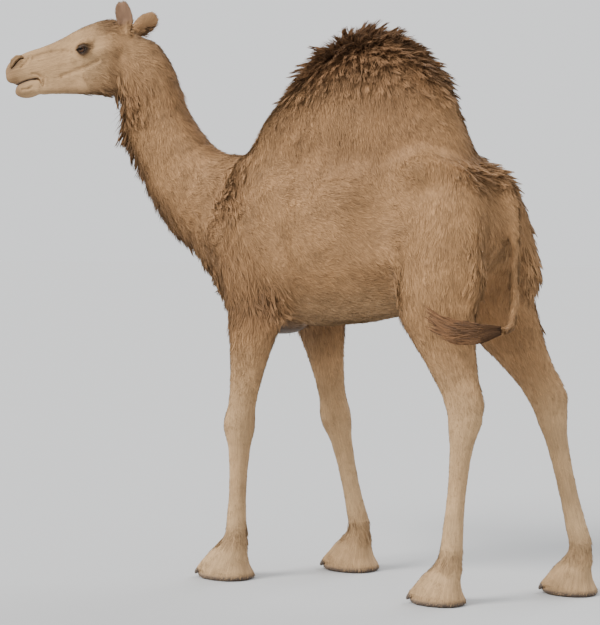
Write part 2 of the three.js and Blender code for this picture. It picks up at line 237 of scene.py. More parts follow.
def rod(place, start, end, thick, thin=None):
    """Distance outside a rounded rod, in millimetres, which may taper."""
    a, run = np.array(start, float), np.subtract(end, start)
    x, y, z = (p - c for p, c in zip(place, a))
    t = np.clip((x * run[0] + y * run[1] + z * run[2]) / (run @ run), 0, 1)
    away = np.sqrt((x - t * run[0]) ** 2 + (y - t * run[1]) ** 2 + (z - t * run[2]) ** 2)
    return away - (thick + ((thin if thin is not None else thick) - thick) * t)


def arc(place, points, thick, thin):
    """A rod bent through several points, thickest in its middle."""
    whole, last = None, len(points) - 1
    for i in range(last):
        sizes = [thick - (thick - thin) * abs(2 * k / last - 1) for k in (i, i + 1)]
        piece = rod(place, points[i], points[i + 1], *sizes)
        whole = piece if whole is None else np.minimum(whole, piece)
    return whole


def ear_frame(which):
    """The base of an ear in the head, and its axes: up along it, across it and the way that it faces."""
    side, reach, turn = EARS[which]
    base = np.array([22.0, side * 54.0, 86.0])
    rise = math.sqrt(EAR_LONG**2 - reach[0] ** 2 - reach[1] ** 2)
    up = np.array([reach[0], side * reach[1], rise]) / EAR_LONG
    face = np.array([math.cos(math.radians(turn)), side * math.sin(math.radians(turn)), 0.0])
    face = face - up * (face @ up)
    face /= np.linalg.norm(face)
    return base, up, np.cross(up, face), face


def ear_cup(place, which):
    """Distance outside the gristle of an ear."""
    base, up, across, face = ear_frame(which)
    x, y, z = (p - c for p, c in zip(place, base))
    w = (x * up[0] + y * up[1] + z * up[2]) / EAR_LONG
    a = x * across[0] + y * across[1] + z * across[2]
    n = x * face[0] + y * face[1] + z * face[2]
    t = np.clip(w, -0.1, 1)
    half = 43 * np.sqrt(np.clip(1 - ((t - 0.46) / 0.62) ** 2, 0.02, 1))
    bowl = (23 - 11 * t) * (1 - np.minimum((a / half) ** 2, 1.4))
    wall = np.abs(n + bowl - 5) * 0.85 - (6.2 - 1.2 * t)
    rim = (np.abs(a) - half) * 0.9
    end = (w - 1.0) * EAR_LONG
    flat = carve(carve(wall, -rim, 7), -end, 7)
    flat = np.maximum(flat, (-0.2 - w) * EAR_LONG)
    root = rod(place, base - up * 16 - face * 8, base + up * 14 - face * 12, 20, 13)
    return union(flat, root, 16)


def creased(place, shape, creases, at=(0, 0)):
    """Carves creases into both sides of the head. Each has its points, forwards and up, how thick it is in
    its middle and at its ends, and its depth and blend."""
    flat = [place[0], 0 * place[1], place[2]]
    for points, thick, thin, depth, blend in creases:
        cut = arc(flat, [(x + at[0], 0, z + at[1]) for x, z in points], thick, thin)
        shape = carve(shape, np.maximum(cut, -shape - depth), blend)
    return shape


def eye_socket(shape, place, mirrored):
    """A socket under a bony brow, with folds of skin around its thick lids."""
    ex, ey, ez = EYE
    shape = union(shape, egg(mirrored, (ex - 6, ey - 2, ez + 22), (46, 19, 13), turn=-12, drop=10), 12)
    shape = union(shape, egg(mirrored, (ex, ey, ez), (31, 25.5, 25), turn=-8), 9)
    folds = [
        ([(-31, -3), (-14, -21), (10, -25), (32, -13)], 2.0, 0.6, 5, 6),
        ([(-30, 9), (-12, 19), (12, 19), (31, 5)], 2.0, 0.6, 6, 5),
        ([(-24, -22), (4, -36), (34, -28)], 1.6, 0.4, 4, 8),
        ([(26, -8), (38, -14), (52, -26)], 1.8, 0.6, 6, 5),
    ]
    return creased(place, shape, folds, (ex, ez))


def cheek(shape, place, mirrored):
    """Cheekbone, chewing muscle, temple, the hollows between them and the edge of the jaw bone."""
    ex, _, ez = EYE
    shape = union(shape, rod(mirrored, (ex + 54, 56, ez - 30), (86, 66, 4), 13, 12), 34)
    shape = union(shape, egg(mirrored, (152, 62, -84), (74, 19, 66), drop=14), 34)
    shape = carve(shape, egg(mirrored, (128, 102, 62), (46, 15, 26)), 18)
    shape = carve(shape, egg(mirrored, (320, 88, 6), (54, 20, 22), turn=-12), 20)
    shape = carve(shape, egg(mirrored, (398, 66, -50), (64, 11, 11), turn=-3, drop=4), 14)
    grooves = [
        ([(150, -34), (206, -52), (268, -62), (330, -70)], 2.6, 0.8, 5, 16),
        ([(286, 22), (340, 30), (400, 28), (452, 20)], 2.4, 0.8, 4, 16),
    ]
    shape = creased(place, shape, grooves)
    shape = union(shape, rod(mirrored, (150, 50, -146), (440, 24, -116), 12, 10), 34)
    return carve(shape, rod(place, (200, 0, -182), (440, 0, -150), 12, 8), 26)


def lip_line(x):
    """The height at which the lips meet."""
    return -84 + 0.15 * (562 - x) + 4 * np.sin((x - 446) / 30)


def muzzle(shape, place, mirrored):
    """Winged nostrils, a split upper lip, the mouth and a loose lower lip."""
    x, y_out, z = mirrored
    shape = union(shape, egg(mirrored, (528, 38, 16), (34, 18, 20), turn=-18, drop=30), 14)
    wing = arc(mirrored, [(560, 40, -2), (546, 52, 22), (520, 56, 36), (496, 52, 36)], 6.0, 3.0)
    shape = union(shape, wing, 10)
    slits = [
        ([(556, -12), (540, -2), (524, 12), (508, 22), (496, 24)], 3.4, 0.8, 16, 4),
        ([(506, -12), (484, 2), (470, 22)], 1.6, 0.4, 4, 10),
    ]
    shape = creased(place, shape, slits)
    shape = union(shape, egg(mirrored, (558, 26, -46), (30, 20, 26), drop=20), 14)
    cleft = np.maximum(np.maximum(y_out - 0.8, 540 - x), np.abs(z + 40) - 42)
    shape = carve(shape, np.maximum(cleft, -shape - 12), 7)
    shape = union(shape, egg(place, (512, 0, -112), (52, 37, 27), drop=-4), 16)
    mouth = np.maximum(np.abs(z - lip_line(x)) - 0.6 * step(x, 440, 480), 444 - x)
    shape = carve(shape, np.maximum(mouth, -shape - 6.5), 4)
    corners = [
        ([(462, -68), (444, -69), (433, -78), (430, -90)], 2.0, 0.6, 8, 5),
        ([(462, -44), (436, -52), (416, -72), (420, -98)], 1.6, 0.4, 5, 9),
        ([(470, -98), (490, -106), (516, -104)], 1.4, 0.4, 4, 8),
    ]
    return creased(place, shape, corners)


def eyelids(shape, mirrored):
    """Rolled edges of the lids and the almond-shaped opening between them, which lies level."""
    x, y_out, z = mirrored
    ex, ey, ez = EYE
    for high, thick in ((8.5, 4.6), (-14.0, 3.2)):
        lid = []
        for u in (-1.25, -0.8, -0.4, 0.0, 0.4, 0.8, 1.25):
            across, rise = LID_LONG * u, high * max(0, 1 - u * u) - 1 - 2.25 * u
            lid.append((ex + across, ey + math.sqrt(max(24.6**2 - across**2 - rise**2, 20)) - 1.5, ez + rise))
        shape = union(shape, arc(mirrored, lid, thick, 2.0), 3)
    u = (x - ex) / LID_LONG
    level = ez - 1.0 + 0.10 * (ex - x)
    gap = np.maximum((z - level) - 7.5 * (1 - u * u), -12.5 * (1 - u * u) - (z - level)) * 0.8
    return carve(shape, np.maximum(gap, (ey - 4) - y_out), 2.0)


def head_shape(box):
    """Models the head's own forms into a box of distances."""
    place = in_head(*box.places())
    mirrored = [place[0], np.abs(place[1]), place[2]]
    shape = box.field / MM + 4.0 * step(place[0], 60, 150)
    shape = eye_socket(shape, place, mirrored)
    shape = cheek(shape, place, mirrored)
    shape = muzzle(shape, place, mirrored)
    shape = carve(shape, egg(mirrored, (78, 96, -100), (16, 10, 60), drop=-16), 24)  # behind the jaw
    shape = eyelids(shape, mirrored)
    for which in EARS:
        shape = union(shape, ear_cup(place, which), 10)
    box.field = (shape * MM).astype(np.float32)


def sharpen(bm, soft, centre, reach, cell, finer=True):
    """Gives a feature of the face a finer mesh, and fits that to the finer form."""
    box = soft.within(centre - reach * 1.25, centre + reach * 1.25, cell)
    head_shape(box)
    box.field += Depth.WALL
    middle = Vector(centre)
    if finer:
        faces = [f for f in bm.faces if (f.calc_center_median() - middle).length < reach]
        edges = list({e for f in faces for e in f.edges})
        bmesh.ops.subdivide_edges(bm, edges=edges, cuts=1, use_grid_fill=True)
    verts = [v for v in bm.verts if (v.co - middle).length < reach * 1.15]
    points = np.array([v.co for v in verts])
    fade = step(-np.linalg.norm(points - centre, axis=1), -reach * 1.1, -reach * 0.85)[:, None]
    for _ in range(5):
        nudges = np.eye(3) * cell * 0.5
        slope = np.stack([box.at(points + n) - box.at(points - n) for n in nudges], 1) / cell
        steep = np.maximum((slope**2).sum(1), 0.05)[:, None]
        move = slope * box.at(points)[:, None] / steep
        points = points - fade * np.clip(move, -0.003, 0.003) * 0.8
    for vert, point in zip(verts, points):
        vert.co = point


def body_shape(box):
    """Models muscle and bone into the trunk, neck and legs."""
    x, y, z = box.places()
    trunk = step(z, 1.12, 1.3) * step(x, 0.30, 0.12) * step(x, -1.08, -0.98)
    legs = step(z, 1.12, 0.96) + step(x, -0.98, -1.06)
    legs = np.clip(legs, 0, 1) * (1 - trunk)
    soft = [box.softened(sigma) for sigma in (0.038, 0.020, 0.009)]
    shape = (soft[0] * trunk + soft[2] * legs + soft[1] * (1 - trunk - legs)) / MM
    place = [x / MM + ORIGIN[0], y / MM + ORIGIN[1], z / MM]
    mirrored = [place[0], np.abs(place[1]), place[2]]
    # Shoulder blade and upper arm, with the dips behind and before them.
    shape = union(shape, rod(mirrored, (486, 112, 1590), (580, 118, 1340), 44, 62), 80)
    shape = union(shape, rod(mirrored, (580, 126, 1320), (430, 176, 1150), 60, 56), 60)
    shape = carve(shape, rod(mirrored, (292, 322, 1600), (262, 322, 1180), 34), 90)
    shape = carve(shape, rod(mirrored, (560, 178, 1660), (660, 246, 1420), 22), 60)
    # Hip bone, flank hollow, the fold of skin that runs down to the stifle, and the buttock's crease.
    shape = union(shape, egg(mirrored, (-360, 158, 1590), (84, 48, 48)), 80)
    shape = carve(shape, egg(mirrored, (-228, 334, 1440), (84, 72, 150)), 100)
    shape = union(shape, rod(mirrored, (-300, 206, 1330), (-360, 204, 1140), 28, 42), 60)
    shape = carve(shape, rod(mirrored, (-560, 262, 1420), (-600, 262, 1120), 14, 26), 70)
    # The sinew above each hock and the horny elbow.
    for leg in HIND.values():
        hock, stifle = np.array(leg[HOCK], float), np.array(leg[STIFLE], float)
        sinew = rod(place, hock + (-70, 0, 26), hock * 0.5 + stifle * 0.5 + (-86, 0, 0), 17, 15)
        shape = union(shape, sinew, 26)
    for leg in FORE.values():
        shape = union(shape, egg(place, np.array(leg[ELBOW], float) + (-128, 0, 6), (42, 34, 52)), 40)
    box.field = (shape * MM).astype(np.float32) + Depth.WALL


def foot_shape(box, sole, front, half):
    """Two toes on one broad pad, with a cleft between them in front."""
    x, y, z = box.places()
    cx, cy, _ = spot((*sole, 0))
    x, y, up = (x - cx) / MM, (y - cy) / MM, z / MM
    place = [x, y, up]
    top = step(z, 0.14, 0.2)
    shape = (box.softened(0.006) * (1 - top) + box.softened(0.009) * top) / MM
    for toe in (1, -1):
        root, tip = (-front * 0.1, toe * half * 0.36, 84), (front * 0.74, toe * half * 0.45, 38)
        shape = union(shape, rod(place, root, tip, 24, 22), 20)
    cleft = np.maximum(np.maximum(np.abs(y) - 1.5, front * 0.45 - x), up - 84)
    shape = carve(shape, np.maximum(cleft, -shape - 13), 15)
    side = np.sqrt((x / (front * 1.02)) ** 2 + (y / (half * 1.02)) ** 2)
    welt = np.sqrt(((side - 1) * half) ** 2 + (up - 24) ** 2) - 3.0
    shape = np.maximum(carve(shape, welt, 8), -up)
    box.field = (shape * MM).astype(np.float32)


def cut_mesh(points, quads, planes):
    """A mesh without what lies in front of the given planes. The cuts are left open."""
    mesh = bpy.data.meshes.new("cut")
    mesh.from_pydata(points, [], quads)
    bm = bmesh.new()
    bm.from_mesh(mesh)
    bpy.data.meshes.remove(mesh)
    for at, axis in planes:
        everything = [*bm.verts, *bm.edges, *bm.faces]
        bmesh.ops.bisect_plane(bm, geom=everything, plane_co=at, plane_no=axis, clear_outer=True)
    return bm


def keep_largest(bm):
    """Removes whatever isn't joined to the main body."""
    bm.verts.ensure_lookup_table()
    groups, seen = [], set()
    for start in bm.verts:
        if start in seen:
            continue
        group, ahead = [start], [start]
        seen.add(start)
        while ahead:
            found = {v for e in ahead.pop().link_edges for v in e.verts} - seen
            seen |= found
            group += found
            ahead += found
        groups.append(group)
    groups.sort(key=len)
    bmesh.ops.delete(bm, geom=[v for g in groups[:-1] for v in g], context="VERTS")


def add_mesh(whole, bm):
    keep_largest(bm)
    made = {v: whole.verts.new(v.co) for v in bm.verts}
    for face in bm.faces:
        whole.faces.new([made[v] for v in face.verts])
    bm.free()


def stitch(bm, at, axis, reach):
    """Closes the gap between two open rims that face each other across a plane."""
    at, axis = Vector(at), Vector(axis).normalized()
    across = axis.orthogonal().normalized()
    other = axis.cross(across)
    rims = [set(), set()]
    for edge in bm.edges:
        if edge.is_boundary and (edge.verts[0].co - at).length < reach:
            rims[int((edge.verts[0].co - at).dot(axis) > 0)].update(edge.verts)
    loops = []
    for rim in rims:
        middle = sum((v.co for v in rim), Vector()) / len(rim)
        turns = [(math.atan2((v.co - middle).dot(other), (v.co - middle).dot(across)), v) for v in rim]
        turns.sort(key=lambda pair: pair[0])
        loops.append(turns + [(turns[0][0] + 2 * math.pi, turns[0][1])])
    low, high = loops
    i = j = 0
    while i < len(low) - 1 or j < len(high) - 1:
        from_low = j == len(high) - 1 or (i < len(low) - 1 and low[i + 1][0] <= high[j + 1][0])
        next_vert = low[i + 1][1] if from_low else high[j + 1][1]
        bm.faces.new((low[i][1], next_vert, high[j][1]))
        i, j = (i + 1, j) if from_low else (i, j + 1)


def build_hide():
    points, triangles = flesh_triangles()
    low, high = points.min(0) - 0.05, points.max(0) + 0.05
    surface = Depth(low, high, CELL_FLESH).measured(points, triangles).skin(Depth.WALL)
    flesh = Depth(low, high, CELL_FLESH).measured(*surface)
    down, up = Vector((0, 0, -1)), Vector((0, 0, 1))

    body = flesh.within(low, high, CELL_BODY)
    body_shape(body)
    cuts = [(NECK_CUT - NECK_AXIS * 0.003, NECK_AXIS), (up * (FOOT_CUT + SEAM), down)]
    bm = cut_mesh(*body.skin(), cuts)

    head = flesh.within(*HEAD_BOX, CELL_HEAD)
    face = step(in_head(*head.places())[0], 60, 150)
    head.field = head.softened(0.022) * (1 - face) + head.softened(0.0075) * face
    soft = head.within(*HEAD_BOX, CELL_HEAD)
    head_shape(head)
    head.field += Depth.WALL
    add_mesh(bm, cut_mesh(*head.skin(), [(NECK_CUT + NECK_AXIS * SEAM, -NECK_AXIS)]))
    soles = []
    for legs, front, half in FEET:
        for leg in legs.values():
            sole = leg[SOLE][:2]
            at = spot((*sole, 0))
            foot = flesh.within(at - (0.17, 0.15, 0.03), at + (0.19, 0.15, 0.27), CELL_FOOT)
            foot_shape(foot, sole, front, half)
            foot.field += Depth.WALL * step(foot.places()[2], 0.0, 0.02)
            add_mesh(bm, cut_mesh(*foot.skin(), [(up * (FOOT_CUT - SEAM), up)]))
            soles.append(at)
    stitch(bm, NECK_CUT, NECK_AXIS, 0.25)
    for at in soles:
        stitch(bm, (at[0], at[1], FOOT_CUT), up, 0.18)
    for (x, y, z), reach, cell in FEATURES:
        for side in (1, -1):
            sharpen(bm, soft, from_head((x, side * y, z)), reach * MM, cell * MM)
    for which in EARS:
        base, along, _, _ = ear_frame(which)
        sharpen(bm, soft, from_head(base + along * 60), 0.072, 0.0024, finer=False)
    bmesh.ops.recalc_face_normals(bm, faces=bm.faces)
    hide = bpy.data.meshes.new("hide")
    bm.to_mesh(hide)
    bm.free()
    return hide


hide_mesh = build_hide()


# ---------------------------------------------------------------- lie and colours of the coat
# A camel's hair is short and close on the face, belly and legs. It is woolly on the crown, down the throat,
# over the shoulders, on the forearms and above all on the hump. Everywhere it lies from the nose towards the
# tail and the feet. Lines through the middle of each part of the body, with the thickness of the flesh around
# them, tell which part a place on the hide belongs to, and which way its hair lies.
NECK_LINE = [
    *((610, 0, 1444), (750, 2, 1484), (874, 5, 1574), (969, 10, 1699)),
    *((1044, 15, 1824), (1101, 20, 1942), (1152, 30, 2079)),
]
TAIL_LINE = [
    *((-606, 2, 1556), (-660, 8, 1340), (-668, 22, 1190)),
    *((-690, 62, 1066), (-714, 132, 1008), (-716, 206, 1000)),
]
HEAD_LINE = [from_head(point) for point in ((30, 0, 10), (240, 0, -10), (560, 0, -36))]
FORE_GIRTH = [82, 122, 116, 62, 50, 90]
HIND_GIRTH = [84, 148, 130, 66, 50, 82]
BONES = {
    "trunk": ([(-560, 0, 1440), (-190, 0, 1385), (215, 0, 1350), (560, 0, 1370)], [150, 300, 320, 230]),
    "hump": ([(-50, 0, 2060), (-36, 0, 1900), (-20, 0, 1760)], [110, 240, 330]),
    "neck": (NECK_LINE, [200, 186, 158, 138, 126, 120, 98]),
    "tail": (TAIL_LINE, [40, 26, 24, 22, 22, 22]),
    "fore_left": (FORE["left"], FORE_GIRTH),
    "fore_right": (FORE["right"], FORE_GIRTH),
    "hind_left": (HIND["left"], HIND_GIRTH),
    "hind_right": (HIND["right"], HIND_GIRTH),
}
LINES = {name: (spot(points), np.array(girths) * MM) for name, (points, girths) in BONES.items()}
LINES["head"] = np.array(HEAD_LINE), np.array([0.1, 0.1, 0.06])
PARTS = list(LINES)

# Colours of the hair: sand over most of the body, brown where it is woolly, pale below. Then of bare skin, of
# the horny pads and soles, and of the thinly haired bowls of the ears.
SAND, WOOL, PALE = (np.array(c) for c in ((0.36, 0.20, 0.09), (0.15, 0.072, 0.030), (0.52, 0.345, 0.185)))
BARE, HORNY, SKIN = (np.array(c) for c in ((0.07, 0.045, 0.034), (0.14, 0.10, 0.074), (0.26, 0.15, 0.095)))


def along_line(points, name):
    """For places near a line of the body: how far they lie outside the flesh and how far along the line, in
    metres, how far round it, in radians, and which way it heads there."""
    stations, girths = LINES[name]
    lengths = np.linalg.norm(np.diff(stations, axis=0), axis=1)
    starts = np.concatenate([[0], np.cumsum(lengths)])
    outside = np.full(len(points), 1e9)
    along, around = np.zeros(len(points)), np.zeros(len(points))
    heading = np.zeros((len(points), 3))
    for i, (start, end) in enumerate(zip(stations, stations[1:])):
        run = (end - start) / lengths[i]
        offset = points - start
        reach = offset @ run
        t = np.clip(reach / lengths[i], 0, 1)
        away = np.linalg.norm(offset - np.outer(t * lengths[i], run), axis=1)
        found = away - (girths[i] * (1 - t) + girths[i + 1] * t)
        lower, upper = (-1 if i == 0 else 0), (2 if i == len(lengths) - 1 else 1)
        front = np.cross(run, (0, 1, 0))
        turn = np.arctan2(offset[:, 1] - reach * run[1], offset @ front)
        nearer = found < outside
        outside = np.where(nearer, found, outside)
        along = np.where(nearer, starts[i] + np.clip(reach / lengths[i], lower, upper) * lengths[i], along)
        around = np.where(nearer, turn, around)
        heading[nearer] = run
    return outside, along, around, heading


def wobble(points, size, seed):
    """An even random waviness from -1 to 1, with features of about the given size in metres."""
    chance = np.random.default_rng(seed)
    total = np.zeros(len(points))
    for _ in range(7):
        way = chance.normal(size=3)
        way *= 2 * math.pi / size / np.linalg.norm(way) * chance.uniform(0.6, 1.5)
        total += np.sin(points @ way + chance.uniform(0, 7))
    return np.clip(total / 3.2, -1, 1)


def near(points, centre, reach):
    """1 at a measured place and fading to 0 over its reach in millimetres, on both sides of the body."""
    at = spot(centre)
    middle = spot((0, 0, 0))[1]
    mirrored = points.copy()
    if centre[1]:
        mirrored[:, 1] = np.abs(points[:, 1] - middle) + middle
    return np.exp(-(((mirrored - at) / (np.asarray(reach) * MM)) ** 2).sum(1))


def unit(vectors):
    return vectors / np.maximum(np.linalg.norm(vectors, axis=1), 1e-9)[:, None]


def clamped(value):
    """No less than 0 and no more than 1."""
    return np.clip(value, 0, 1)


class Coat:
    """What grows at each of many places on the hide. First its part of the body and the lie of its hair, then
    the woolly regions, the length and lift of the hair, the bare places and the colours."""

    def __init__(self, points, normals):
        self.points, self.normals = points, normals
        self.height = points[:, 2] / MM
        self.head = np.array(in_head(*points.T))
        self.ear_out = np.minimum(ear_cup(self.head, "left"), ear_cup(self.head, "right"))
        found = [along_line(points, name) for name in PARTS]
        self.find_parts(found)
        self.comb([heading for _, _, _, heading in found])
        self.find_wool()
        self.measure()
        self.find_bare()
        self.colour_in()

    def find_parts(self, found):
        outside = np.stack([f[0] for f in found])
        weights = np.exp(-(outside - outside.min(0)) / 0.045)
        self.weight = dict(zip(PARTS, weights / weights.sum(0)))
        self.part = outside.argmin(0)
        pick = (self.part, np.arange(len(self.points)))
        self.along = np.stack([f[1] for f in found])[pick]
        self.around = np.stack([f[2] for f in found])[pick]
        x, _, z = self.head
        self.ear = step(-self.ear_out, -9, -3) * step(z, 92, 112)
        self.face = self.weight["head"] * step(x, 60, 170)
        self.forelegs = self.weight["fore_left"] + self.weight["fore_right"]
        self.legs = self.forelegs + self.weight["hind_left"] + self.weight["hind_right"]

    def comb(self, headings):
        """The lie of the hair: along each part of the body, with swirls of two sizes."""
        down = -self.normals[:, 2]
        lie = np.zeros_like(self.points)
        for name, heading in zip(PARTS, headings):
            if name == "trunk":
                heading = np.stack([0 * down - 1, 0 * down, -0.42 + 0.3 * np.abs(down)], 1)
            elif name == "hump":
                heading = unit(heading * [0.2, 0.2, 1] + [-0.55, 0, 0])
            elif name in ("neck", "head"):
                heading = -heading
            lie += self.weight[name][:, None] * heading
        for which in EARS:
            _, up, _, _ = ear_frame(which)
            on_it = step(-ear_cup(self.head, which), -14, -6) * step(self.head[2], 86, 108)
            lie += 3 * on_it[:, None] * (HEAD_AXES @ up)
        swirl = 0.30 * wobble(self.points, 0.16, 3) + 0.22 * wobble(self.points, 0.055, 4)
        lie = unit(lie)
        lie = unit(lie - self.normals * (lie * self.normals).sum(1)[:, None])
        side = np.cross(self.normals, lie)
        self.lie = unit(lie * np.cos(swirl)[:, None] + side * np.sin(swirl)[:, None])

    def find_wool(self):
        """Where the coat is longer or stands out, each from 0 to 1."""
        points, w = self.points, self.weight
        x, _, z = self.head
        nape_way = self.normals @ np.array([-0.75, 0, 0.6])
        self.crest = w["hump"] * step(self.height, 1800, 2120)
        self.rump = near(points, (-570, 60, 1610), (95, 120, 90))
        self.underneck = w["neck"] * step(-nape_way, 0.1, 0.75)
        self.nape = w["neck"] * step(nape_way, 0.45, 0.9)
        self.beside_ear = step(-self.ear_out, -34, -10)
        self.crown = w["head"] * step(z, 60, 110) * step(x, 190, 70) * (1 - 0.75 * self.beside_ear)
        throat = near(points, (1160, 50, 1910), (150, 120, 110))
        self.beard = (w["head"] * step(x, 300, 120) + w["neck"]) * throat
        before = near(points, (230, 0, 1880), (120, 160, 150))
        behind = near(points, (-330, 0, 1820), (110, 160, 170))
        self.slope = w["hump"] * (before + behind)
        self.brisket = near(points, (690, 0, 1160), (120, 170, 130))
        self.shoulder = near(points, (540, 190, 1520), (120, 120, 210))
        self.forearm = self.forelegs * step(self.height, 860, 1060) * step(self.height, 1400, 1230)
        self.elbow = near(points, (300, 220, 1110), (70, 90, 70))
        self.flank = near(points, (-270, 230, 1190), (60, 90, 110))
        self.buttock = near(points, (-640, 170, 1240), (70, 110, 170))
        self.shank = self.legs * step(self.height, 1040, 480)
        self.fetlock = self.legs * np.exp(-(((self.height - 165) / 40) ** 2))
        woolly = self.crest + self.underneck + self.crown + self.beard + self.brisket
        self.shag = clamped(woolly + 0.6 * self.shoulder + 0.6 * self.forearm + self.elbow + self.rump)
        loose = [self.crest, 0.9 * self.rump, 0.8 * self.underneck * step(self.height, 1400, 1800)]
        loose += [self.beard, self.brisket, 0.5 * self.shoulder, 0.9 * self.elbow, 0.8 * self.flank]
        loose += [0.8 * self.buttock, 0.55 * self.slope, 0.5 * self.crown, 0.25 * self.fetlock]
        self.loose = clamped(sum(loose)) * (1 - self.beside_ear)

    def measure(self):
        """The length of the hair and how steeply it stands, and how deep the coat is for that."""
        w = self.weight
        x, _, z = self.head
        length = 34 * w["trunk"] + 42 * w["hump"] + 38 * w["neck"] + 17 * w["head"] + 26 * w["tail"]
        length = length + self.legs * (30 - 13 * step(self.height, 950, 620))
        length = length * (1 - self.face) + self.face * (15 - 8 * step(x, 380, 520))
        lift = 13 - 5 * self.shank - 5 * self.face
        # Millimetres longer and degrees steeper.
        more = [
            *((self.crest, 50, 26), (self.rump, 40, 20), (self.slope, 14, 8), (self.underneck, 42, 9)),
            *((self.nape, 12, 8), (self.crown, 30, 24), (self.beard, 52, 12), (self.brisket, 34, 14)),
            *((self.shoulder, 22, 6), (self.forearm, 22, 5), (self.elbow, 34, 14), (self.flank, 24, 14)),
            *((self.buttock, 16, 8), (self.fetlock, 12, 10)),
        ]
        for place, longer, steeper in more:
            length = length + place * longer
            lift = lift + place * steeper
        upon_ear = step(-self.ear_out, -16, -8) * step(z, 92, 112)
        self.length = (length * (1 - upon_ear) + 13 * upon_ear) * MM
        self.lift = np.radians(lift * (1 - upon_ear) + 8 * upon_ear)
        deep = 0.7 * self.length * np.sin(self.lift + 0.06)
        self.depth = deep * (1 - self.ear) * (1 - step(x, 40, 120) * w["head"]) * step(self.height, 4, 60)

    def find_bare(self):
        """Lids, nostrils, lips, the bowls of the ears, the horny pads that it kneels on, and the soles."""
        x, y, z = self.head
        wide = np.abs(y) - EYE[1] - 4
        self.eye_far = np.sqrt(((x - EYE[0]) / 1.25) ** 2 + wide**2 * 0.25 + (z - EYE[2]) ** 2)
        self.rim = self.face * step(-self.eye_far, -27, -17)
        slant = np.abs((z - 4) + 0.75 * (x - 528))
        self.nose = self.face * np.exp(-((slant / 7) ** 2) - ((x - 528) / 30) ** 2) * step(np.abs(y), 30, 40)
        gape = z - lip_line(x)
        self.lips = self.face * np.exp(-((gape / 5) ** 2)) * step(x, 432, 460)
        shaven = self.face * np.exp(-((gape / 10) ** 2)) * step(x, 424, 440)
        facing = self.normals @ HEAD_AXES
        self.bowl = np.zeros(len(self.points))
        for which in EARS:
            _, _, _, front = ear_frame(which)
            inside = step(-ear_cup(self.head, which), -9, -2) * step(facing @ front, 0.1, 0.7)
            self.bowl = np.maximum(self.bowl, inside * step(z, 96, 112))
        kneeling = np.zeros(len(self.points))
        forwards = step(self.normals[:, 0], 0.55, 0.9)
        for legs, joint, size in ((FORE, KNEE, (75, 60, 72)), (HIND, STIFLE, (210, 90, 70))):
            for leg in legs.values():
                offset = (self.points - spot(leg[joint])) / (np.array(size) * MM)
                kneeling = np.maximum(kneeling, np.exp(-(offset**2).sum(1)) * forwards)
        self.knees = clamped(kneeling * 1.2)
        self.chest_pad = clamped(near(self.points, (402, 0, 950), (120, 84, 60)) * 2.4)
        self.sole = step(self.height, 26, 10)
        bare = [self.rim, self.nose, shaven, 0.5 * self.bowl, self.knees, self.chest_pad, self.sole]
        self.bare = clamped(np.maximum.reduce(bare))

    def colour_in(self):
        """Sand, brown and pale hair in soft patches, a darker face with painted shade, and dark bare skin."""
        w = self.weight
        x, _, z = self.head
        below = step(-self.normals[:, 2], 0.3, 0.9)
        pale = clamped(0.85 * self.shank + 0.5 * w["trunk"] * below + 0.35 * self.face + 0.3 * w["head"])
        brown = 0.72 * self.crest + 0.34 * w["hump"] + 0.62 * self.underneck + 0.5 * self.nape
        brown = clamped(brown + 0.75 * self.crown + 0.6 * self.beard + 0.45 * self.brisket)
        brown = brown + 0.5 * self.shoulder + 0.5 * self.forearm + 0.4 * self.elbow
        brown = clamped(brown + 0.5 * self.rump + 0.3 * self.fetlock)
        patch = 0.5 + 0.5 * wobble(self.points, 0.45, 8)
        fleck = 1 + 0.10 * wobble(self.points, 0.2, 9) + 0.05 * wobble(self.points, 0.05, 10)
        # Painted shade: a ring round each eye, in its socket, and the lower back of the jaw are darkened
        # where shade falls. The top of the nose and the muzzle are darker hair of their own.
        painted_socket_shade = self.face * step(-self.eye_far, -46, -20)
        bridge = self.face * step(self.normals @ HEAD_AXES[:, 2], 0.55, 0.9) * step(x, 500, 300)
        lips_and_nose = self.face * step(x, 470, 560)
        painted_shade_under_jaw = self.face * step(z, -70, -120) * step(x, 420, 320)
        darker_face_and_shade = np.clip(0.7 * painted_socket_shade + 0.45 * bridge + 0.6 * lips_and_nose + 0.3 * painted_shade_under_jaw, 0, 0.85)
        colour = SAND + (PALE - SAND) * (pale * (0.7 + 0.3 * patch))[:, None]
        colour = colour + (WOOL - colour) * (brown * (0.78 + 0.22 * patch))[:, None]
        colour = colour * fleck[:, None]
        tones = [(0.8 * self.bowl, SKIN * 0.9), (darker_face_and_shade, SAND * 0.52), (self.rim, BARE * 0.45)]
        tones += [(self.nose, BARE * 0.8), (self.lips, BARE), (self.knees, HORNY)]
        tones += [(self.chest_pad, HORNY * 0.8), (self.sole, HORNY * 0.75)]
        for place, tone in tones:
            colour = colour + (tone - colour) * clamped(place)[:, None]
        self.colour = np.clip(colour, 0.004, 0.9)


def mesh_arrays(mesh):
    """The places and normals of a mesh's points."""
    return values_of(mesh.vertices, "co", 3), values_of(mesh.vertex_normals, "vector", 3)


def paint(mesh, name, colours):
    layer = mesh.color_attributes.new(name, "FLOAT_COLOR", "POINT")
    opaque = np.hstack([colours, np.ones((len(colours), 1))])
    layer.data.foreach_set("color", opaque.astype(np.float32).ravel())


def set_corners(mesh, name, per_corner):
    mesh.uv_layers.new(name=name).data.foreach_set("uv", per_corner.astype(np.float32).ravel())


def linked(name, data):
    made = bpy.data.objects.new(name, data)
    bpy.context.scene.collection.objects.link(made)
    return made


def add_object(name, mesh, material, nodes=()):
    """A finished piece, which may take the place of nodes of the frame."""
    mesh.materials.clear()
    mesh.materials.append(material)
    mesh.shade_smooth()
    made = linked(name, mesh)
    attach(made, "root")
    if nodes:
        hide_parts(*nodes)
    return made


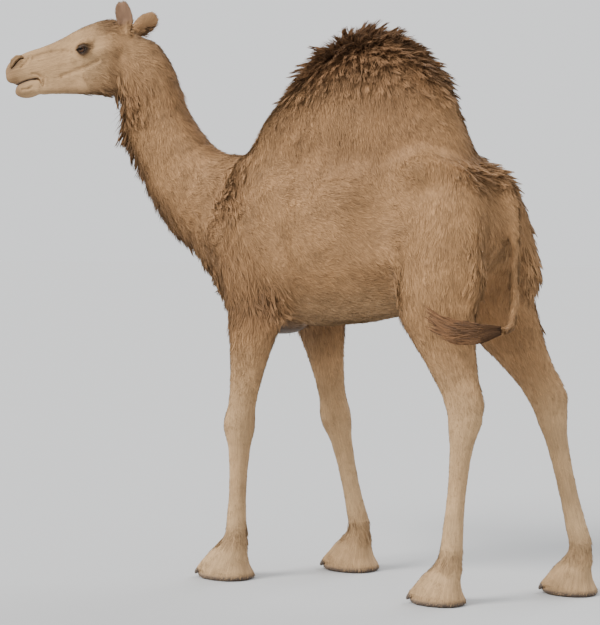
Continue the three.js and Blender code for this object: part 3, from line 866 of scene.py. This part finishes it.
class Value:
    """A socket of a shader, so that its maths can be written as Python expressions."""

    def __init__(self, tree, socket=None):
        self.tree, self.socket = tree, socket

    def node(self, kind, settings=(), result=0, **inputs):
        """Adds a node, with its settings first and then its inputs, by name or as _ and a number."""
        made = self.tree.nodes.new("ShaderNode" + kind)
        for key, value in dict(settings).items():
            setattr(made, key, value)
        for key, value in inputs.items():
            at = made.inputs[int(key[1:]) if key[0] == "_" else key.replace("_", " ")]
            if isinstance(value, Value):
                self.tree.links.new(value.socket, at)
            else:
                at.default_value = value
        return Value(self.tree, made.outputs[result])

    def maths(self, operation, *values):
        return self.node("Math", {"operation": operation}, **{f"_{i}": v for i, v in enumerate(values)})

    def __add__(self, other):
        return self.maths("ADD", self, other)

    def __mul__(self, other):
        return self.maths("MULTIPLY", self, other)

    __radd__ = __add__
    __rmul__ = __mul__

    def blended(self, a, b):
        """Colour a where this is 0 and colour b where it is 1."""
        return self.node("Mix", {"data_type": "RGBA"}, result=2, _0=self, _6=a, _7=b)

    def ranged(self, low, high, start=0.0, end=1.0, kind="LINEAR"):
        """The start value at low, the end value at high, and between them in between."""
        return self.node("MapRange", {"interpolation_type": kind}, _0=self, _1=low, _2=high, _3=start, _4=end)

    def feed(self, socket):
        self.tree.links.new(self.socket, socket)


def finish_of(name, roughness):
    """A new material, with a Value to build on and its surface shader."""
    made = bpy.data.materials.new(name)
    made.use_nodes = True
    shader = made.node_tree.nodes["Principled BSDF"]
    shader.inputs["Roughness"].default_value = roughness
    return made, Value(made.node_tree), shader


# Short hair shows on the hide as a fine grain that runs the way it lies, and bare skin is creased.
def hide_material():
    made, value, shader = finish_of("hide", 0.8)
    shader.inputs["Specular IOR Level"].default_value = 0.25
    tint = value.node("Attribute", {"attribute_name": "tint"}, result="Color")
    bare = value.node("Attribute", {"attribute_name": "bare"}, result="Fac")
    lie = value.node("UVMap", {"uv_map": "lie"})
    place = value.node("TexCoord", result="Object")
    combed = value.node("Mapping", _0=lie, Scale=(1, 0.09, 1))
    hairs = value.node("TexNoise", _0=combed, Scale=420.0, Detail=3.0, Roughness=0.6)
    bunches = value.node("TexNoise", _0=combed, Scale=95.0, Detail=2.0)
    creases = value.node("TexVoronoi", {"feature": "DISTANCE_TO_EDGE"}, _0=place, Scale=260.0)
    grain = hairs * 0.6 + bunches * 0.7
    relief = value.node("Mix", {"data_type": "FLOAT"}, _0=bare, _2=grain, _3=creases * 0.8)
    shade = grain.ranged(0.4, 0.9, 0.72, 1.18)
    value.node("VectorMath", {"operation": "SCALE"}, _0=tint, Scale=shade).feed(shader.inputs["Base Color"])
    bare.ranged(0.0, 1.0, 0.82, 0.5).feed(shader.inputs["Roughness"])
    value.node("Bump", Strength=0.75, Distance=0.004, Height=relief).feed(shader.inputs["Normal"])
    return made


def evened(values, edges, count):
    """The average of each point's neighbours."""
    total = np.zeros((count, *values.shape[1:]))
    np.add.at(total, edges[:, 0], values[edges[:, 1]])
    np.add.at(total, edges[:, 1], values[edges[:, 0]])
    links = np.bincount(edges.ravel(), minlength=count)
    return (total.T / links).T


def dress_hide(mesh):
    """Sinks the hide by the depth of its coat, and gives it its colours and the lie of its hair."""
    points, normals = mesh_arrays(mesh)
    edges = values_of(mesh.edges, "vertices", 2, int)
    coat = Coat(points, normals)
    for _ in range(4):
        points = points + (evened(points, edges, len(points)) - points) * (0.5 * coat.ear)[:, None]
    depth = coat.depth
    for _ in range(6):
        depth = 0.5 * depth + 0.5 * evened(depth, edges, len(points))
    points = points - normals * depth[:, None]
    mesh.vertices.foreach_set("co", points.ravel())
    mesh.update()
    paint(mesh, "tint", coat.colour)
    mesh.attributes.new("bare", "FLOAT", "POINT").data.foreach_set("value", coat.bare.astype(np.float32))
    corner = values_of(mesh.loops, "vertex_index", 1, int)
    starts = values_of(mesh.polygons, "loop_start", 1, int)
    first = np.repeat(coat.around[corner[starts]], np.diff(np.append(starts, len(corner))))
    turn = coat.around[corner]
    turn = turn - 2 * math.pi * np.round((turn - first) / (2 * math.pi))
    radius = {"trunk": 0.27, "hump": 0.25, "neck": 0.11, "tail": 0.03, "head": 0.09}
    reach = np.array([radius.get(name, 0.07) for name in PARTS])[coat.part[corner]]
    set_corners(mesh, "lie", np.stack([turn * reach, coat.along[corner]], 1))
    return coat


coat = dress_hide(hide_mesh)
hide_points, hide_normals = mesh_arrays(hide_mesh)
flesh_nodes = [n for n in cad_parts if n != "tail_tuft" and "eye_" not in n and "nail_" not in n]
add_object("hide", hide_mesh, hide_material(), flesh_nodes)


# ---------------------------------------------------------------- coat
# The hair stands on the hide in flat pointed tufts that overlap like thatch, each of many hairs held
# together, paler at its tip and darker towards its root, which is painted shade down in the coat. Each part
# of the body has its own fleece of them, and longer loose locks stand out where the coat is woolly.
PATCH = 0.003  # how wide a tuft's own patch is on the map of its colours


def hair_material():
    made, value, shader = finish_of("hair", 0.72)
    value.node("Attribute", {"attribute_name": "tint"}, result="Color").feed(shader.inputs["Base Color"])
    shader.inputs["Specular IOR Level"].default_value = 0.28
    return made


hair = hair_material()


def locks(name, paths, up, width, colour, patch, nodes=(), painted_root_shade_and_tip=(0.64, 1.2)):
    """Closed three-sided blades, each drawn along its own path from root to tip, with the flat side up and
    the keel towards the hide. They are shaded as if round."""
    count, rings = paths.shape[0], paths.shape[1] - 1
    verts, tints, spots, facing = [], [], [], []
    for k in range(rings):
        t = k / rings
        way = unit(paths[:, k + 1] - paths[:, max(k - 1, 0)])
        aside = unit(np.cross(way, up))
        side = aside * (0.5 * width * (0.72 + 1.1 * t - 1.45 * t * t))[:, None]
        over = np.cross(aside, way)
        keel = over * (1.1 * np.linalg.norm(side, axis=1))[:, None]
        verts.append(np.stack([paths[:, k] - side, paths[:, k] + side, paths[:, k] - keel], 1))
        top = over + 0.25 * way
        facing.append(np.stack([top - aside, top + aside, way - 0.4 * over], 1))
        # Painted shade: the colour darkens towards the root, for the shade down among the hairs, and is paler
        # at the tip.
        shade = painted_root_shade_and_tip[0] + (painted_root_shade_and_tip[1] - painted_root_shade_and_tip[0]) * t
        tints.append(np.broadcast_to((colour * shade)[:, None, :], (count, 3, 3)))
        spots.append(np.broadcast_to([[0, t], [1, t], [0.5, t]], (count, 3, 2)))
    verts.append(paths[:, rings:])
    facing.append((over + 0.3 * way)[:, None])
    tints.append((colour * painted_root_shade_and_tip[1])[:, None, :])
    spots.append(np.broadcast_to([0.5, 1.0], (count, 1, 2)))
    verts = np.concatenate(verts, 1)
    verts[:, :, 2] = np.maximum(verts[:, :, 2], 0.001)
    each = verts.shape[1]
    corners = (0, 1), (1, 2), (2, 0)
    faces = [(0, 2, 1)]
    for k in range(rings - 1):
        for a, b in corners:
            p, q = 3 * k + a, 3 * k + b
            faces += [(p, q, q + 3), (p, q + 3, p + 3)]
    last = 3 * (rings - 1)
    faces += [(last + a, last + b, each - 1) for a, b in corners]
    faces = (np.array(faces)[None] + (np.arange(count) * each)[:, None, None]).reshape(-1, 3)
    mesh = bpy.data.meshes.new(name)
    mesh.vertices.add(count * each)
    mesh.vertices.foreach_set("co", verts.ravel())
    mesh.loops.add(faces.size)
    mesh.loops.foreach_set("vertex_index", faces.ravel())
    mesh.polygons.add(len(faces))
    mesh.polygons.foreach_set("loop_start", np.arange(0, faces.size, 3))
    mesh.update()
    mesh.shade_smooth()
    mesh.normals_split_custom_set_from_vertices(unit(np.concatenate(facing, 1).reshape(-1, 3)))
    paint(mesh, "tint", np.clip(np.concatenate(tints, 1).reshape(-1, 3), 0.002, 0.95))
    local = (np.concatenate(spots, 1) - 0.5) * PATCH + patch[:, None, :]
    set_corners(mesh, "OFBake", local.reshape(-1, 2)[faces.ravel()])
    return add_object(name, mesh, hair, nodes)


def leaning(roots, up, lie, length, lift, rings, curl=0.1, bend=0.5, seed=1):
    """Paths that rise from their roots and lean over along the lie of the coat."""
    sunk = 0.0012  # how far the roots start under the hide
    sway = np.random.default_rng(seed).normal(size=len(roots)) * curl
    side = np.cross(lie, up)
    stations = []
    for t in np.linspace(0, 1, rings + 1):
        rise = np.sin(lift) * (t - 0.65 * bend * t * t)
        along = length * t * np.cos(lift)
        across = length * (sway * t * t + 0.35 * curl * np.sin(4.5 * t + sway * 9))
        reach = lie * along[:, None] + up * (length * rise - sunk)[:, None]
        stations.append(roots + reach + side * across[:, None])
    return np.stack(stations, 1)


hide_mesh.calc_loop_triangles()
triangles = values_of(hide_mesh.loop_triangles, "vertices", 3, int)
corners = hide_points[triangles]
areas = 0.5 * np.linalg.norm(np.cross(corners[:, 1] - corners[:, 0], corners[:, 2] - corners[:, 0]), axis=1)
part_of = coat.part[triangles[:, 0]]
left_side = corners[:, :, 1].mean(1) > spot((0, 0, 0))[1]
hairy = clamped(1 - coat.bare[triangles].mean(1) * 1.15)


def sowing(parts, side, loose):
    """How likely a tuft is to root in each triangle of the hide: more are needed where they are short."""
    chosen = np.isin(part_of, [PARTS.index(p) for p in parts])
    if side is not None:
        chosen &= left_side == (side == "left")
    if loose:
        density = areas * hairy * chosen * coat.loose[triangles].mean(1) ** 2
    else:
        short = 0.03 / np.clip(coat.length[triangles].mean(1), 0.012, 0.06)
        density = areas * hairy * chosen * short**0.7
    return density / density.sum()


def fleece(name, parts, count, width, side=None, rings=1, seed=1, tile=None, loose=False):
    """Sows tufts evenly over some parts of the hide, or only where loose locks stand out from the coat. A
    loose lock is of several thin hairs that share what is drawn for it."""
    chance = np.random.default_rng(seed)
    together = 9 if loose else 1
    bunches = int(count * (1)) // together
    count = bunches * together

    def shared(drawn):
        return np.repeat(drawn, together)

    picked = shared(chance.choice(len(areas), bunches, p=sowing(parts, side, loose)))
    a, b = (shared(chance.random(bunches)) for _ in range(2))
    a = np.sqrt(a)
    within = np.stack([1 - a, a * (1 - b), a * b], 1)[:, :, None]

    def at(values):
        values = values if values.ndim == 2 else values[:, None]
        return (values[triangles[picked]] * within).sum(1)

    up = unit(at(hide_normals))
    lie = at(coat.lie)
    lie = unit(lie - up * (lie * up).sum(1)[:, None])
    places = at(hide_points)
    shag = at(coat.shag)[:, 0]
    turn = shared(chance.normal(0, 0.11, bunches)) + (0.16 + 0.34 * shag) * wobble(places, 0.034, seed + 50)
    lie = unit(lie * np.cos(turn)[:, None] + np.cross(up, lie) * np.sin(turn)[:, None])
    length = at(coat.length)[:, 0] * shared(chance.uniform(0.75, 1.25, bunches))
    lift = at(coat.lift)[:, 0] + shared(chance.normal(0, 0.05, bunches)) * (1 + shag)
    lift = lift + (0.05 + 0.12 * shag) * wobble(places, 0.05, seed + 70)
    if loose:
        length, lift = length * 1.15 + 0.006, lift + 0.10
    wide = width * (0.75 + 0.5 * chance.random(count)) * (length / 0.03) ** 0.35
    tone = 1 + 0.15 * chance.normal(size=count) + 0.13 * wobble(places, 0.03, seed + 90)
    colour = at(coat.colour) * np.clip(tone, 0.5, 1.5)[:, None]
    runs = at(coat.along)[:, 0]
    runs = (runs - runs.min()) / (runs.max() - runs.min())
    patch = np.stack([coat.around[triangles[picked, 0]] / (2 * math.pi) + 0.5, runs], 1)
    if tile:
        corner = np.array([tile[PARTS[p]] for p in part_of[picked]])
        patch = (patch * 0.96 + 0.02 + corner) * 0.5
    patch = patch * 0.98 + 0.01
    curl = 0.08 if loose else 0.1
    paths = leaning(places, up, lie, length, np.clip(lift, 0.05, 1.1), rings, curl, seed=seed)
    if loose:  # the hairs of a lock spring from a patch of hide and meet near its point
        offset = lie * chance.normal(0, 0.010, (count, 1))
        offset = offset + np.cross(up, lie) * chance.normal(0, 0.007, (count, 1))
        paths += offset[:, None] * (1 - 0.75 * np.linspace(0, 1, rings + 1) ** 1.3)[None, :, None]
    # The roots are painted darker, as shade down in the coat, and the tips paler.
    painted_root_shade_and_tip = (0.68, 1.1) if loose else (0.70, 1.26)
    return locks(name, paths, up, wide, colour, patch, painted_root_shade_and_tip=painted_root_shade_and_tip)


fleece("trunk_coat_left", ["trunk"], 37000, 0.0056, "left", seed=11)
fleece("trunk_coat_right", ["trunk"], 37000, 0.0056, "right", seed=12)
fleece("hump_wool_left", ["hump"], 34000, 0.0054, "left", seed=13)
fleece("hump_wool_right", ["hump"], 34000, 0.0054, "right", seed=14)
fleece("neck_wool", ["neck"], 47000, 0.0052, seed=15)
fleece("head_coat", ["head"], 35000, 0.0034, seed=16)
fore_tiles = {"fore_left": (0, 0), "fore_right": (1, 1)}
hind_tiles = {"hind_left": (0, 0), "hind_right": (1, 1)}
fleece("foreleg_coat", list(fore_tiles), 40000, 0.0044, seed=17, tile=fore_tiles)
fleece("hindleg_coat", list(hind_tiles), 44000, 0.0046, seed=18, tile=hind_tiles)
fleece("tail_coat", ["tail"], 5000, 0.0046, seed=19)
not_tail = [part for part in PARTS if part != "tail"]
fleece("loose_locks", not_tail, 12400, 0.0030, rings=3, seed=20, loose=True)

# ---------------------------------------------------------------- tassel
# The tail ends in a tassel of long dark locks, which swing forwards past the thigh and part at their tips.
# They are bent blades that follow one line, in eight groups.
TASSEL = spot([(-716, 196, 1002), (-684, 276, 1000), (-612, 326, 1010), (-534, 342, 1030), (-452, 346, 1062)])
# Each group of strands has its own reach along the tassel, its own droop and its own stand outwards.
TIPS = np.array([1.0, 0.86, 0.97, 0.78, 0.92, 0.7, 0.84, 0.62])
DROOPS = np.array([0.044, 0.026, 0.006, -0.014, -0.032, -0.048, 0.014, -0.060])
SPREADS = np.array([0.0, 0.012, -0.012, 0.008, -0.006, 0.010, -0.014, 0.0])


def tassel():
    count, rings = 1500, 5
    chance = np.random.default_rng(31)
    start = chance.uniform(0.0, 0.5, count) ** 1.15
    group = chance.integers(0, len(TIPS), count)
    end = np.minimum(start + chance.uniform(0.3, 0.55, count), TIPS[group] * chance.uniform(0.9, 1.02, count))
    turn = chance.uniform(0, 2 * math.pi, count)
    drop = DROOPS[group] + chance.normal(0, 0.003, count)
    paths = []
    for t in np.linspace(0, 1, rings + 1):
        reach = np.clip((start + (end - start) * t) * 4, 0, 3.999)
        i = reach.astype(int)
        between = (reach - i)[:, None]
        centre = TASSEL[i] * (1 - between) + TASSEL[i + 1] * between
        fat = 0.012 + 0.020 * np.sin(np.pi * np.clip(reach / 3.2, 0, 1))
        fat = fat * (1 - 0.72 * (reach / 4) ** 2)
        ring = np.stack([0 * turn, 0.6 * np.cos(turn), np.sin(turn)], 1)
        spread = (reach / 4) ** 1.8
        sag = drop * spread - 0.010 * np.sin(np.pi * reach / 4)
        fan = np.stack([0 * drop, SPREADS[group] * spread, sag], 1)
        wave = 0.004 * np.sin(7 * t + turn)[:, None] * np.array([0, 0.4, 1])
        paths.append(centre + ring * fat[:, None] + fan + wave)
    up = unit(np.stack([0 * turn, np.cos(turn), np.sin(turn)], 1) + (0, 0.4, 0.2))
    colour = np.outer(chance.uniform(0.6, 1.5, count), WOOL * 0.85)
    patch = np.stack([0.02 + 0.96 * turn / (2 * math.pi), 0.02 + 0.96 * start / 0.5], 1)
    width = chance.uniform(0.0035, 0.0065, count)
    # Painted shade darkens the locks towards their roots, and their tips are paler.
    locks("tail_tassel", np.stack(paths, 1), up, width, colour, patch, ["tail_tuft"], (0.6, 1.35))


tassel()


# ---------------------------------------------------------------- eyes
# A large dark ball behind each pair of lids, wet and glossy, with a brown iris and a pupil that lies level.
# It is built of rings of points, and its colours follow the distance from the middle of its front.
def eye_material():
    made, value, shader = finish_of("eye", 0.08)
    gaze = value.node("UVMap", {"uv_map": "gaze"})
    across = value.node("SeparateXYZ", result=0, _0=gaze)
    up = value.node("SeparateXYZ", result=1, _0=gaze)
    radius = value.maths("SQRT", across * across + up * up)
    oval = value.maths("SQRT", across * across * 0.42 + up * up * 2.6)
    rays = value.node("TexNoise", _0=gaze, Scale=34.0, Detail=4.0)
    iris = rays.blended((0.05, 0.018, 0.006, 1), (0.19, 0.078, 0.026, 1))
    colour = oval.ranged(0.26, 0.31, kind="SMOOTHSTEP").blended((0.002, 0.0015, 0.001, 1), iris)
    colour = radius.ranged(0.5, 0.68, kind="SMOOTHSTEP").blended(colour, (0.006, 0.004, 0.003, 1))
    colour = radius.ranged(0.66, 0.78, kind="SMOOTHSTEP").blended(colour, (0.16, 0.105, 0.075, 1))
    colour.feed(shader.inputs["Base Color"])
    shader.inputs["Specular IOR Level"].default_value = 0.1
    shader.inputs["Coat Weight"].default_value = 1.0
    shader.inputs["Coat Roughness"].default_value = 0.03
    shader.inputs["Coat IOR"].default_value = 1.36
    return made


eye_finish = eye_material()


def close_up(mesh):
    """Joins doubled points and turns every face outwards."""
    bm = bmesh.new()
    bm.from_mesh(mesh)
    bmesh.ops.remove_doubles(bm, verts=bm.verts, dist=1e-5)
    bmesh.ops.recalc_face_normals(bm, faces=bm.faces)
    bm.to_mesh(mesh)
    bm.free()


def eye(which, side):
    """A ball whose clear front stands out a little, with its poles at the front and the back."""
    out = unit(np.array([[0.20, side * 0.97, 0.05]]))[0]
    across = unit(np.cross(out, (0, 0, 1))[None])[0]
    up = np.cross(across, out)
    around, rings = 48, 32
    verts, looks = [out], [(0, 0)]
    for i in range(1, rings):
        away = math.pi * i / rings
        swell = 1 + 0.035 * max(0.0, math.cos(away) - 0.6) / 0.4
        for j in range(around):
            a = 2 * math.pi * j / around
            x, y = math.sin(away) * math.cos(a), math.sin(away) * math.sin(a)
            verts.append((across * x + up * y + out * math.cos(away)) * swell)
            looks.append((x, y) if away < math.pi / 2 else (2 * math.cos(a), 2 * math.sin(a)))
    verts.append(-out)
    looks.append((0, 2))
    faces = [(0, 1 + j, 1 + (j + 1) % around) for j in range(around)]
    for i in range(rings - 2):
        a, b = 1 + i * around, 1 + (i + 1) * around
        faces += [(a + j, b + j, b + (j + 1) % around, a + (j + 1) % around) for j in range(around)]
    last = 1 + (rings - 2) * around
    faces += [(len(verts) - 1, last + (j + 1) % around, last + j) for j in range(around)]
    centre = np.array([EYE[0], side * EYE[1], EYE[2]])
    mesh = bpy.data.meshes.new("eyeball_" + which)
    mesh.from_pydata([from_head(centre + EYE_BALL * np.array(v)) for v in verts], [], faces)
    close_up(mesh)
    corner = values_of(mesh.loops, "vertex_index", 1, int)
    set_corners(mesh, "gaze", np.array(looks)[corner])
    add_object("eyeball_" + which, mesh, eye_finish, ["eye_" + which])


eye("left", 1)
eye("right", -1)

# ---------------------------------------------------------------- lashes
# Long stiff dark hairs along the edge of each upper lid shade the eye, and shorter and fewer ones edge the
# lower lid. They are thin blades that curve away from it.
LASH_THICK = 0.0013
LASH_COLOUR = [0.03, 0.019, 0.012]


def lashes():
    chance = np.random.default_rng(41)
    roots, ups, lies, lengths = [], [], [], []
    for side in (1, -1):
        for lid, number, long in ((1, 76, 27), (-1, 40, 13)):
            u = np.sort(chance.uniform(-0.9, 0.9, number))
            x = EYE[0] + LID_LONG * u
            rise = (8.5 if lid > 0 else -13.5) * (1 - u * u)
            z = EYE[2] - 1 + 0.10 * (EYE[0] - x) + rise + lid * chance.uniform(0, 1.5, number)
            y = EYE[1] + np.sqrt(np.maximum(24.5**2 - (x - EYE[0]) ** 2 - (z - EYE[2]) ** 2, 30)) - 0.5
            roots.append(np.stack([x, side * y, z], 1))
            outwards = side * np.ones(number)
            curve = -0.62 * lid + 0.1 * chance.normal(size=number)
            lies.append(unit(np.stack([0.45 * u - 0.1, outwards, curve], 1)))
            ups.append(unit(np.stack([0 * u, 0.6 * outwards, lid * np.ones(number)], 1)))
            lengths.append(long * (0.75 + 0.35 * (1 - u * u)) * chance.uniform(0.8, 1.1, number))
    roots, lies, ups = (np.concatenate(a) for a in (roots, lies, ups))
    lies = unit(lies - ups * (lies * ups).sum(1)[:, None])
    roots, ups, lies = HEAD_AT + roots @ HEAD_AXES.T * MM, ups @ HEAD_AXES.T, lies @ HEAD_AXES.T
    count = len(roots)
    lengths = np.concatenate(lengths) * MM
    paths = leaning(roots, ups, lies, lengths, np.full(count, 0.25), 4, curl=0.05, bend=-1.0, seed=42)
    patch = np.stack([np.linspace(0.02, 0.98, count), np.full(count, 0.5)], 1)
    locks("lashes", paths, ups, np.full(count, LASH_THICK), np.tile(LASH_COLOUR, (count, 1)), patch)


lashes()

# ---------------------------------------------------------------- nails
# Each foot has two small blunt nails of dark ridged horn, which grow from the front of the toes and point
# down. They are worn flat where they touch the ground.
NAIL_LONG, NAIL_WIDE = 27, 16.5  # half a nail's length and width, in millimetres
NAIL_OVER, NAIL_UNDER = 13, 11  # its thickness above and below its middle line
NAIL_HIGH = 30  # the middle's height over the ground
NAIL_SPLAY, NAIL_DROP = math.radians(14), math.radians(30)


def horn_material():
    made, value, shader = finish_of("horn", 0.5)
    place = value.node("TexCoord", result="Object")
    streak = value.node("Mapping", _0=place, Scale=(60, 60, 420))
    grain = value.node("TexNoise", _0=streak, Scale=1.0, Detail=3.0)
    grain.blended((0.035, 0.024, 0.017, 1), (0.15, 0.11, 0.08, 1)).feed(shader.inputs["Base Color"])
    value.node("Bump", Strength=0.6, Distance=0.001, Height=grain).feed(shader.inputs["Normal"])
    return made


def nail_point(away, a, toe):
    """A point of a nail, from the nail's middle. It narrows, drops and curls over towards its tip."""
    x, spread = math.cos(away), math.sin(away) ** 0.8
    y, z = spread * math.cos(a), spread * math.sin(a)
    thick = NAIL_OVER if z > 0 else NAIL_UNDER
    x, y, z = x * NAIL_LONG, y * (NAIL_WIDE - 3 * x), z * thick * (1 - 0.18 * x)
    z -= 0.006 * max(x, 0) ** 2
    drop, turn = NAIL_DROP, toe * NAIL_SPLAY
    x, z = x * math.cos(drop) + z * math.sin(drop), z * math.cos(drop) - x * math.sin(drop)
    return x * math.cos(turn) - y * math.sin(turn), y * math.cos(turn) + x * math.sin(turn), z


def add_nail(verts, faces, middle, toe):
    """Adds one nail's rings of points, from its tip to its root, and the faces between them."""
    around, rings, start = 20, 14, len(verts)
    for i in range(rings + 1):
        for j in range(around):
            x, y, z = nail_point(math.pi * i / rings, 2 * math.pi * j / around, toe)
            verts.append(spot((middle[0] + x, middle[1] + y, max(NAIL_HIGH + z, 2.0))))
    for i in range(rings):
        a, b = start + i * around, start + (i + 1) * around
        faces.extend((a + j, a + (j + 1) % around, b + (j + 1) % around, b + j) for j in range(around))


def nails():
    verts, faces = [], []
    for legs, front, half in FEET:
        for leg in legs.values():
            x, y, _ = leg[SOLE]
            for toe in (1, -1):
                add_nail(verts, faces, (x + front * 0.87, y + toe * half * 0.46), toe)
    mesh = bpy.data.meshes.new("nails")
    mesh.from_pydata(verts, [], faces)
    close_up(mesh)
    add_object("nails", mesh, horn_material(), [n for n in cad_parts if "nail_" in n])


nails()

# ---------------------------------------------------------------- stage
# A plain pale floor under soft studio light.
floor_mesh = bpy.data.meshes.new("floor")
floor_mesh.from_pydata([(-60, -60, 0), (60, -60, 0), (60, 60, 0), (-60, 60, 0)], [], [(0, 1, 2, 3)])
floor_finish, _, floor_shader = finish_of("floor", 0.9)
floor_shader.inputs["Base Color"].default_value = (0.505, 0.51, 0.515, 1)
floor_shader.inputs["Specular IOR Level"].default_value = 0.0
floor_mesh.materials.append(floor_finish)
floor = linked("floor", floor_mesh)
floor.location.z = -0.0005


def aimed(name, data, back):
    """A lamp or camera that stands in the direction given and looks the other way."""
    made = linked(name, data)
    made.rotation_mode = "QUATERNION"
    made.rotation_quaternion = Vector(back).to_track_quat("Z", "Y")
    return made


def soft_light(name, towards, strength, softness, colour):
    lamp = bpy.data.lights.new(name, "SUN")
    lamp.energy, lamp.angle, lamp.color = strength, softness, colour
    aimed(name, lamp, towards)


soft_light("key", (0.35, 0.75, 0.72), 3.8, 0.4, (1, 0.975, 0.94))
soft_light("rim", (-0.10, -0.80, 0.70), 1.4, 0.6, (0.96, 0.98, 1))
sky = bpy.data.worlds.new("studio")
sky.use_nodes = True
sky.node_tree.nodes["Background"].inputs["Color"].default_value = (0.97, 0.985, 1, 1)
sky.node_tree.nodes["Background"].inputs["Strength"].default_value = 1.15
bpy.context.scene.world = sky

# ---------------------------------------------------------------- camera
# It looks at the camel from its left and a little from behind, from the height of its flank.
TARGET = Vector((-0.093, -0.021, 1.036))  # the place it looks at
AZIMUTH, ELEVATION = math.radians(215.6), math.radians(2.3)
DISTANCE, LENS = 8.126, 118.9  # metres, millimetres

lens = bpy.data.cameras.new("camera")
lens.sensor_width = 36
lens.lens = LENS
lens.clip_end = 200
level = math.cos(ELEVATION)
back = Vector((math.sin(AZIMUTH) * level, -math.cos(AZIMUTH) * level, math.sin(ELEVATION)))
camera = aimed("camera", lens, back)
camera.location = TARGET + back * DISTANCE
bpy.context.scene.camera = camera
